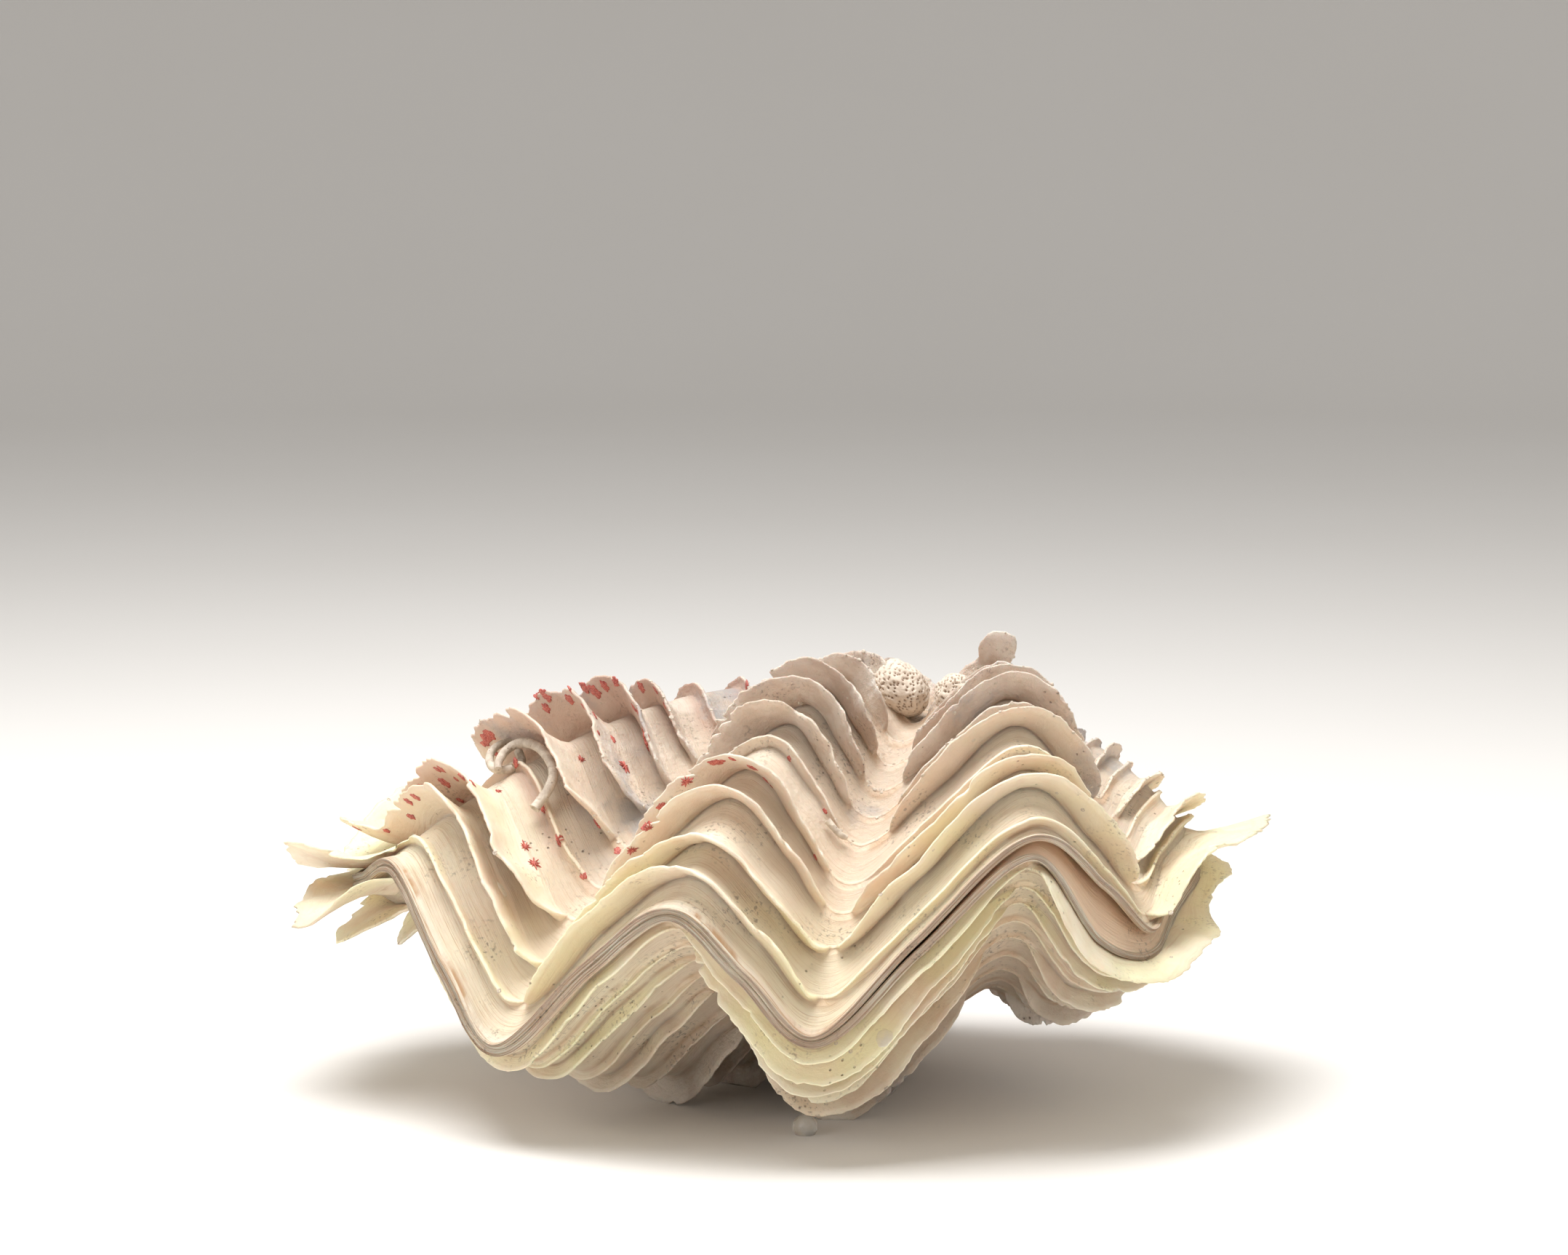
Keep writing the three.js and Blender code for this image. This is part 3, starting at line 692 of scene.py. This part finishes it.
def shell_finish(name, settings):
    """Dry clam shell: cream skin with blotches, yellow silky lips on the young lamellae, grey and grainy
    on the old ones, brown growth lines in the folds and on the edge, pits and dirt specks. Peach in the
    folds, with painted shade in peach at the feet of the lamellae, painted shade with some brown dirt in
    the crease before each lamella, and painted shade in brown inside the old hoods of the end rib."""
    f = Finish(name, 0.6)
    lip, age, face, fold, turn = (f.value(key) for key in ("lip", "age", "face", "fold", "turn"))
    blotch, grain = f.cloud(70, 4), f.cloud(900, 4)
    wide = f.cloud(28, 3)
    wandering = f.maths("ADD", age, f.times(f.maths("SUBTRACT", wide, 0.5), 0.35))
    youth = f.between(wandering, 0.5, 0.95)
    body = f.mix(f.between(blotch, 0.35, 0.68), settings.cream, settings.peach)
    aged = f.mix(f.between(blotch, 0.4, 0.6), settings.old_shell, settings.chalk)
    skin_colour = f.mix(f.between(youth, 0.0, 0.8, 0.9, 0.0), body, aged)
    # Peach in the folds, and painted shade in peach at the feet of the lamellae; pale yellow on young lips.
    foot = f.times(f.fall(lip, 0.0, 0.4), f.between(fold, 0.1, 0.9, 0.35, 0.75))
    yellow = f.times(f.between(lip, 0.0, 0.5, 0.35, 0.95), f.between(wandering, 0.76, 1.0))
    yellow = f.times(yellow, f.between(wide, 0.35, 0.62, 0.3, 1.0))
    # Growth lines run along the edge: noise squeezed across the growth stage.
    across = f.maths("ADD", f.times(age, 420.0), f.times(lip, 9.0))
    lines = f.cloud(1.0, 5, f.vector(across, f.times(turn, 1.3)), 0.7)
    low = f.between(lip, 0.0, 0.6, 1.0, 0.22)
    lined = f.times(f.between(lines, 0.5, 0.66), f.times(low, f.between(age, 0.9, 1.0, 0.3, 0.8)))
    # The edge is laid in cream, peach and brown sheets, and the inside is porcelain.
    rim = f.times(f.between(face, 1.2, 1.9), f.fall(face, 2.05, 2.9))
    laid = f.cloud(1.0, 5, f.vector(f.times(lip, 16.0), f.times(turn, 0.9)), 0.7)
    rim_base = f.mix(f.between(wide, 0.4, 0.6), settings.cream, settings.peach)
    rim_colour = f.mix(f.between(laid, 0.46, 0.6), rim_base, settings.brown)
    inside = f.between(face, 2.1, 2.9)
    # Painted shade with some brown dirt in the crease before each lamella, and painted shade in brown inside
    # the old hoods of the end rib.
    crease_dirt_and_shade = f.times(f.fall(lip, 0.0, 0.3), f.between(face, 0.7, 1.0), f.fall(face, 1.0, 1.3))
    crease_dirt_and_shade = f.times(crease_dirt_and_shade, f.between(f.cloud(60, 3), 0.42, 0.62, 0.05, 0.6))
    # Painted shade: the front faces of the old hoods turn brown.
    hood_shade_share = f.times(f.between(turn, 2.6, 3.4), f.fall(turn, 4.6, 5.6), f.between(face, 0.4, 0.9))
    hood_shade_share = f.times(hood_shade_share, f.fall(face, 1.1, 1.5), f.between(age, 0.84, 0.93, 0.75, 0.0))
    hood_shade_share = f.times(hood_shade_share, f.between(wide, 0.35, 0.6, 0.5, 1.0))
    # Grey stains on old shell, dirt in patches, dark pits.
    stain = f.times(f.between(f.cloud(38, 5), 0.56, 0.7), f.between(youth, 0.2, 0.9, 0.7, 0.05))
    dirt = f.times(f.between(f.cloud(55, 4), 0.5, 0.68), f.between(grain, 0.52, 0.68))
    near, pick = f.cells(620)
    pit = f.times(f.fall(near, 0.10, 0.26), f.between(pick, 0.78, 0.84))
    pit = f.times(pit, f.between(f.cloud(32, 2), 0.56, 0.66), f.fall(face, 2.1, 2.9))
    # The foot, crease and hood shares lay painted shade over the skin colour.
    for share, tone in (
        (foot, settings.peach), (yellow, settings.lip_yellow), (lined, settings.brown), (rim, rim_colour),
        (inside, settings.porcelain), (crease_dirt_and_shade, settings.brown), (hood_shade_share, settings.hood_shade_tone),
        (stain, settings.stain), (f.times(dirt, 0.6), settings.dirt), (f.times(pit, 0.6), settings.dirt),
    ):
        skin_colour = f.mix(share, skin_colour, tone)
    rubble = f.times(f.cloud(420, 5, rough=0.7), f.between(youth, 0.1, 0.9, 1.0, 0.25))
    height = f.maths("ADD", rubble, f.times(lines, f.times(low, 0.5)))
    height = f.maths("SUBTRACT", height, f.times(pit, 0.8))
    height = f.maths("ADD", height, f.times(f.times(laid, rim), 0.7))
    return f.finish(
        skin_colour, height, 0.0011, f.between(yellow, 0.0, 1.0, 0.68, 0.42),
        {"Subsurface Weight": 0.12, "Subsurface Scale": 0.004},
    )


def red_finish(settings):
    """Coral red discs: mottled, paler on the worn tops, dull."""
    f = Finish("red_growth", 0.6)
    tone = f.mix(f.between(f.cloud(700, 4), 0.35, 0.65), settings.red, settings.dark_red)
    near, _ = f.cells(2600)
    tone = f.mix(f.between(near, 0.3, 0.6, 0.35, 0.0), tone, (0.8, 0.42, 0.33))
    return f.finish(tone, f.cloud(2200, 3), 0.0002)


def tube_finish(name, settings):
    """Worm tube: beige grey chalk with darker grooves and fine grain."""
    f = Finish(name, 0.75)
    tone = f.mix(f.between(f.cloud(350, 4), 0.35, 0.65), settings.tube, settings.tube_shade)
    near, pick = f.cells(900)
    speck = f.times(f.between(near, 0.15, 0.3, 1.0, 0.0), f.between(pick, 0.7, 0.8))
    tone = f.mix(f.times(speck, 0.6), tone, (0.2, 0.14, 0.1))
    return f.finish(tone, f.cloud(1600, 4), 0.00025)


def coral_finish(settings):
    """Coral crust: pinkish beige walls, and painted shade in dark brown in the pits, darker the deeper each
    point lies.
    """
    f = Finish("coral_crust", 0.85)
    depth = f.value("depth")
    wall = f.mix(f.between(f.cloud(260, 4), 0.3, 0.7), settings.coral, settings.coral_shade)
    # Painted shade: the pits turn dark brown with their depth.
    tone = f.mix(f.between(depth, 0.2, 0.9), wall, (0.28, 0.18, 0.12))
    return f.finish(tone, f.cloud(1500, 3), 0.0002)


def ligament_finish(settings):
    """Dried horny band: dark brown with fine lines along its length and dull cracks."""
    f = Finish("ligament", 0.5)
    split = f.node("SeparateXYZ")
    f.set(split.inputs[0], f.place())
    x, y, z = split.outputs
    stretched = f.vector(f.times(x, 60), f.times(y, 1400), f.times(z, 1400))
    lines = f.cloud(1.0, 4, stretched)
    tone = f.mix(f.between(lines, 0.35, 0.65), settings.ligament, (0.10, 0.05, 0.025))
    cracks = f.cloud(260, 4)
    tone = f.mix(f.between(cracks, 0.58, 0.7, 0.0, 0.7), tone, (0.40, 0.27, 0.16))
    return f.finish(tone, f.maths("ADD", lines, cracks), 0.0004)


def clear_finish(name, tint, see_through):
    """Milky clear growth: lets light through, with a faint cloud and a wrinkled surface."""
    f = Finish(name, 0.22)
    tone = f.mix(f.between(f.cloud(300, 3), 0.35, 0.7), tint, (0.84, 0.78, 0.68))
    return f.finish(tone, f.cloud(420, 3), 0.0003, None, {"Transmission Weight": see_through, "IOR": 1.45})


# ---- Settings that a user would change ----
def colour(name, description, default):
    """A colour setting."""
    return FloatVectorProperty(
        name=name, description=description, default=default, subtype="COLOR", size=3, min=0, max=1)


class ClamShellSettings(bpy.types.PropertyGroup):
    """Sizes and colours of the two valves."""

    columns: IntProperty(
        name="Columns", description="Points round the wavy edge of each valve", default=478, min=60, max=480)
    cream: colour("Cream", "Main colour of the dry shell", (0.83, 0.745, 0.60))
    # Peach also paints the shade at the feet of the lamellae.
    peach: colour("Peach", "Colour deep in the folds", (0.74, 0.59, 0.45))
    old_shell: colour("Old shell", "Colour of the oldest, worn shell", (0.54, 0.43, 0.35))
    chalk: colour("Chalk", "Pale chalky patches on old shell", (0.72, 0.65, 0.57))
    lip_yellow: colour("Lip yellow", "Young frill lips", (0.86, 0.80, 0.53))
    # Growth line brown also paints the shade, with some dirt, in the creases before the lamellae.
    brown: colour("Growth line brown", "Growth lines and the laid edge", (0.50, 0.30, 0.16))
    # The hood colour is painted shade inside the old hoods.
    hood_shade_tone: colour("Hood", "Inside of the old hoods on the end rib", (0.55, 0.36, 0.28))
    porcelain: colour("Porcelain", "Smooth inside of the valves", (0.86, 0.64, 0.45))
    stain: colour("Stain", "Grey blotches on old shell", (0.36, 0.36, 0.37))
    dirt: colour("Dirt", "Specks and pits", (0.10, 0.065, 0.045))


class ClamGrowthSettings(bpy.types.PropertyGroup):
    """Sizes and colours of what has grown on the shell."""

    red: colour("Red", "Red discs and stars", (0.56, 0.12, 0.09))
    dark_red: colour("Dark red", "Darker parts of the red discs", (0.36, 0.05, 0.045))
    tube: colour("Tube", "Worm tubes", (0.68, 0.60, 0.50))
    tube_shade: colour("Tube shade", "Darker parts of the worm tubes", (0.50, 0.42, 0.34))
    coral: colour("Coral", "Walls of the coral crusts", (0.74, 0.64, 0.53))
    coral_shade: colour("Coral shade", "Darker walls of the coral crusts", (0.64, 0.53, 0.43))
    ligament: colour("Ligament", "Horny band behind the hinge", (0.20, 0.11, 0.06))
    small_coils: IntProperty(
        name="Small coils", description="How many tiny coiled worm tubes", default=90, min=1, max=400)
    grains: IntProperty(name="Grains", description="How many chalky grains", default=900, min=1, max=3000)


class ClamStageSettings(bpy.types.PropertyGroup):
    """Floor, light and camera."""

    floor_colour: colour("Floor", "Pale floor", (0.86, 0.84, 0.81))
    sky_colour: colour("Surroundings", "Light from all round", (1.0, 0.97, 0.94))
    sky_strength: FloatProperty(name="Sky strength", description="Light from all round", default=0.4, min=0)
    lamp_power: FloatProperty(name="Lamp power", description="Main lamp", default=23.0, min=0, unit="POWER")
    camera_distance: FloatProperty(
        name="Camera distance", description="To the shell", default=1.2, min=0.3, unit="LENGTH")
    camera_height: FloatProperty(
        name="Camera height angle", description="How far it looks down", default=0.192, unit="ROTATION")


# ---- Operators ----
def valve_step(context, name, valve, node, slot):
    """Builds one valve with its own finish."""
    settings = context.scene.clam_shell
    build_valve(name, valve, node, slot, shell_finish(name, settings), settings.columns)
    return {"FINISHED"}


class CLAM_OT_upper_valve(bpy.types.Operator):
    """Builds the upper valve with its frills"""

    bl_idname = "clam.upper_valve"
    bl_label = "Upper Valve"

    def execute(self, context):
        return valve_step(context, "upper_shell", UPPER, "valve_upper", "shell_upper")


class CLAM_OT_lower_valve(bpy.types.Operator):
    """Builds the lower valve, which the shell lies on"""

    bl_idname = "clam.lower_valve"
    bl_label = "Lower Valve"

    def execute(self, context):
        return valve_step(context, "lower_shell", LOWER, "valve_lower", "shell_lower")


class CLAM_OT_ligament(bpy.types.Operator):
    """Builds the dried horny band behind the hinge"""

    bl_idname = "clam.ligament"
    bl_label = "Ligament"

    def execute(self, context):
        half = (LIGAMENT["to"] - LIGAMENT["from"]) / 2
        u = np.linspace(-1, 1, 122)[1:-1][:, None]
        v = all_round(48)[None, :]
        swell = np.sqrt(1 - u**2)
        ridges = 1 + 0.06 * rough(v * 9 / np.pi + 0 * u, 12) + 0.05 * rough(u * 14 + 0 * v, 15)
        x = LIGAMENT["from"] + half * (1 + u) + 0 * v
        y = UMBO[1] + LIGAMENT["gap"] + LIGAMENT["proud"] * swell * np.maximum(np.cos(v), 0) * ridges
        z = UMBO[2] + LIGAMENT["tall"] * swell * np.sin(v) * ridges
        flat = UMBO[1] + LIGAMENT["gap"]
        ends = [np.array([[LIGAMENT[key], flat, UMBO[2]]]) for key in ("from", "to")]
        rings = np.stack([x, y, z], -1)[:, ::-1]
        points, faces = closed_forms(rings[None], *ends)
        finish = ligament_finish(context.scene.clam_growth)
        add_piece("horny_ligament", points, faces, finish, "ligament", "hinge_ligament")
        return {"FINISHED"}


class CLAM_OT_worm_tubes(bpy.types.Operator):
    """Builds the two worm tubes with their growth rings and open mouths"""

    bl_idname = "clam.worm_tubes"
    bl_label = "Worm Tubes"

    def execute(self, context):
        finish = tube_finish("worm_tube", context.scene.clam_growth)
        outward = (-0.25, -0.6, 0.75)
        main = tube(WORM_KNOTS, WORM_RADIUS, outward, 46, 300)
        coil = tube(COILED_WORM_KNOTS, WORM_RADIUS * 0.85, outward, 34, 220)
        add_piece("worm_tube_ringed", *joined(main, coil), finish, "worm_tube", "worm_tube")
        t, g, lift = np.array(SMALL_WORM_PERCHES).T
        point, normal, _ = skin(UPPER, t, g)
        small = tube(point + normal * lift[:, None], 0.9, normal.mean(0), 12, 90, 14)
        add_piece("worm_tube_short", *small, finish, "worm_tube", "worm_tube_small")
        return {"FINISHED"}


class CLAM_OT_coral(bpy.types.Operator):
    """Builds the two pitted coral crusts"""

    bl_idname = "clam.coral"
    bl_label = "Coral Crusts"

    def execute(self, context):
        finish = coral_finish(context.scene.clam_growth)
        for shape, size in ((CORAL, ""), (SMALL_CORAL, "_small")):
            points, faces, depth = honeycomb(*shape)
            name, node = "coral_pitted" + size, "coral_crust" + size
            add_piece(name, points, faces, finish, "coral", node, depth=depth)
        return {"FINISHED"}


class CLAM_OT_red_growths(bpy.types.Operator):
    """Builds the red discs and the small red stars"""

    bl_idname = "clam.red_growths"
    bl_label = "Red Discs and Stars"

    def execute(self, context):
        finish = red_finish(context.scene.clam_growth)
        t, lamella, row, radius = RED_DISCS.T
        places = site("upper_shell", t, lamella.astype(int), row.astype(int))
        phase = (scatter(t * 100, 3) * np.pi)[:, None, None]

        def lobed(v):
            five, nine, two = np.sin(5 * v + phase), np.sin(9 * v - 2 * phase), np.sin(2 * v + phase)
            return 1 + 0.14 * five + 0.10 * nine + 0.18 * two

        discs = patches(places, radius * 0.92, 0.32 + 0.16 * radius, lobed)
        t, lamella, row, radius = RED_STARS.T
        places = site("upper_shell", t, lamella.astype(int), row.astype(int))
        turn = (scatter(t * 100, 5) * np.pi)[:, None, None]

        def rayed(v):
            return 0.32 + 0.75 * np.abs(np.cos(4.5 * (v + turn))) ** 5 * (0.8 + 0.25 * np.sin(3 * v + turn))

        stars = patches(places, radius, 0.5 + 0.35 * radius, rayed, 9, 90)
        add_piece("red_growths", *joined(discs, stars), finish, "coral")
        return {"FINISHED"}


def scattered(name, count, seed, lamellae, rows):
    """Random places over a valve: t from near one hinge end to the other, lamella and row in their ranges."""
    i = np.arange(count)
    t = 0.6 + 16.8 * (0.5 + 0.5 * scatter(i, seed))

    def whole(least, most, own):
        return np.floor(least + (most - least + 1) * (0.4999 + 0.4999 * scatter(i, own))).astype(int)

    return site(name, t, whole(*lamellae, seed + 1), whole(*rows, seed + 2))


class CLAM_OT_small_growths(bpy.types.Operator):
    """Builds the tiny coiled worm tubes and the chalky grains"""

    bl_idname = "clam.small_growths"
    bl_label = "Small Coils and Grains"

    def execute(self, context):
        settings = context.scene.clam_growth
        finish = tube_finish("chalk_growth", settings)
        count = settings.small_coils
        size = 0.55 + 0.35 * np.abs(scatter(np.arange(count), 31))
        upper = coils(scattered("upper_shell", count, 40, (5, 12), (1, 12)), size)
        lower = coils(scattered("lower_shell", count // 3, 50, (7, 12), (1, 12)), size[: count // 3])
        add_piece("small_coils", *joined(upper, lower), finish, "worm_tube")
        grains = settings.grains
        radius = 0.22 + 0.38 * np.abs(scatter(np.arange(grains), 61)) ** 2
        places = scattered("upper_shell", grains, 70, (2, 8), (4, 9))
        old = patches(places, radius, radius * 0.8, lambda v: 1 + 0 * v, 5, 10)
        add_piece("chalk_grains", *old, finish, "worm_tube")
        return {"FINISHED"}


class CLAM_OT_clear_growths(bpy.types.Operator):
    """Builds the clear bead under the shell and the thin clear scales on it"""

    bl_idname = "clam.clear_growths"
    bl_label = "Clear Bead and Scales"

    def execute(self, context):
        low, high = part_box("rest_bead")
        u = np.linspace(0, np.pi, 42)[1:-1][:, None]
        v = all_round(64)[None, :]
        ball = round_ball(u, v)
        middle = np.array([*BEAD, high[2] / MM - BEAD_RADIUS])
        body = middle + ball * BEAD_RADIUS * (0.985 + 0.015 * grit(ball * BEAD_RADIUS, 1.6, 8))[..., None]
        body[..., 2] = np.maximum(body[..., 2], 0)
        top, bottom = middle + [0, 0, BEAD_RADIUS * 0.985], middle * [1, 1, 0]
        points, faces = closed_forms(body[None], top[None], bottom[None])
        finish = clear_finish("clear_bead", (0.93, 0.90, 0.84), 0.7)
        add_piece("clear_bead", points, faces, finish, "clear_bead", "rest_bead")
        forms = []
        for name, t, lamella, row, radius in CLEAR_SCALES:
            places = site(name, np.array([t]), np.array([lamella]), np.array([row]))
            rim = lambda v: 1 + 0.06 * np.sin(3 * v) + 0.04 * np.sin(7 * v)
            forms.append(patches(places, np.array([radius]), np.array([0.9]), rim, 12, 48, 0.2))
        finish = clear_finish("clear_scale", (0.92, 0.83, 0.62), 0.12)
        add_piece("clear_scales", *joined(*forms), finish, "clear_bead")
        return {"FINISHED"}


def add_lamp(name, place, size, power, aim):
    """A square soft lamp at place, facing aim."""
    lamp = bpy.data.lights.new(name, "AREA")
    lamp.size = size
    lamp.energy = power
    holder = bpy.data.objects.new(name, lamp)
    holder.location = place
    holder.rotation_euler = (Vector(aim) - Vector(place)).to_track_quat("-Z", "Y").to_euler()
    bpy.context.scene.collection.objects.link(holder)


class CLAM_OT_stage(bpy.types.Operator):
    """Makes the pale floor, the soft lamps and the camera"""

    bl_idname = "clam.stage"
    bl_label = "Stage"

    def execute(self, context):
        settings = context.scene.clam_stage
        floor_radius, wall_radius, wall_height = 2.4, 1.2, 1.3
        bend = np.linspace(0, np.pi / 2, 24)
        wall = floor_radius + wall_radius * np.sin(bend[1:])
        radius = np.concatenate([np.linspace(0.02, floor_radius, 12), wall])
        height = np.concatenate([np.zeros(12), wall_height * (1 - np.cos(bend[1:]))])
        round_angle = all_round(96)
        rings = np.stack([
            radius[:, None] * np.cos(round_angle), radius[:, None] * np.sin(round_angle),
            height[:, None] + 0 * round_angle], -1)
        index = np.arange(rings.shape[0] * 96).reshape(-1, 96)
        turned = np.roll(index, -1, axis=1)
        quads = np.stack([index[:-1], index[1:], turned[1:], turned[:-1]], -1).reshape(-1, 4)
        mesh = bpy.data.meshes.new("floor")
        mesh.from_pydata(rings.reshape(-1, 3).tolist(), [], quads.tolist() + [index[0].tolist()])
        mesh.polygons.foreach_set("use_smooth", np.ones(len(mesh.polygons), bool))
        f = Finish("floor", 0.7)
        tone = f.mix(f.between(f.cloud(3, 2), 0.3, 0.7, 0.0, 0.05), settings.floor_colour, (0.7, 0.66, 0.6))
        mesh.materials.append(f.finish(tone))
        floor = bpy.data.objects.new("floor", mesh)
        context.scene.collection.objects.link(floor)
        world = bpy.data.worlds.new("surroundings")
        world.use_nodes = True
        background = world.node_tree.nodes["Background"]
        background.inputs[0].default_value = (*settings.sky_colour, 1)
        background.inputs[1].default_value = settings.sky_strength
        context.scene.world = world
        aim = (0, 0, 0.06)
        add_lamp("main_lamp", (-0.15, -0.05, 1.25), 0.9, settings.lamp_power, aim)
        add_lamp("right_lamp", (0.95, -0.7, 0.6), 0.8, settings.lamp_power * 0.12, aim)
        add_lamp("left_lamp", (-0.95, -0.7, 0.5), 0.8, settings.lamp_power * 0.16, aim)
        camera = bpy.data.cameras.new("camera")
        view_width = 0.4409  # metres seen across the picture at the shell
        camera.sensor_width = 36
        camera.lens = settings.camera_distance * camera.sensor_width / view_width
        camera.shift_x, camera.shift_y = 0.0074, 0.1644
        holder = bpy.data.objects.new("camera", camera)
        shift = offset() * MM
        target = Vector((shift[0], shift[1] - 0.010, 0.062))
        back = Vector((0, -np.cos(settings.camera_height), np.sin(settings.camera_height)))
        holder.location = target + back * settings.camera_distance
        holder.rotation_euler = (-back).to_track_quat("-Z", "Y").to_euler()
        context.scene.collection.objects.link(holder)
        context.scene.camera = holder
        context.scene.view_settings.view_transform = "Standard"
        return {"FINISHED"}


class CLAM_PT_shell(bpy.types.Panel):
    """Lists the steps that build the shell"""

    bl_label = "Giant Clam Shell"
    bl_idname = "CLAM_PT_shell"
    bl_space_type = "VIEW_3D"
    bl_region_type = "UI"
    bl_category = "Clam Shell"

    def draw(self, context):
        column = self.layout.column()
        for step in STEPS:
            column.operator(step.bl_idname)
        for group in (context.scene.clam_shell, context.scene.clam_growth, context.scene.clam_stage):
            for key in group.__annotations__:
                column.prop(group, key)


STEPS = (
    CLAM_OT_upper_valve, CLAM_OT_lower_valve, CLAM_OT_ligament, CLAM_OT_worm_tubes, CLAM_OT_coral,
    CLAM_OT_red_growths, CLAM_OT_small_growths, CLAM_OT_clear_growths, CLAM_OT_stage,
)
GROUPS = (ClamShellSettings, ClamGrowthSettings, ClamStageSettings)


def register():
    for item in (*GROUPS, *STEPS, CLAM_PT_shell):
        bpy.utils.register_class(item)
    bpy.types.Scene.clam_shell = PointerProperty(type=ClamShellSettings)
    bpy.types.Scene.clam_growth = PointerProperty(type=ClamGrowthSettings)
    bpy.types.Scene.clam_stage = PointerProperty(type=ClamStageSettings)


def unregister():
    del bpy.types.Scene.clam_stage
    del bpy.types.Scene.clam_growth
    del bpy.types.Scene.clam_shell
    for item in reversed((*GROUPS, *STEPS, CLAM_PT_shell)):
        bpy.utils.unregister_class(item)


def main():
    """Builds everything in order."""
    register()
    for step in STEPS:
        family, name = step.bl_idname.split(".")
        getattr(getattr(bpy.ops, family), name)()
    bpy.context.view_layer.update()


if __name__ == "__main__":
    main()
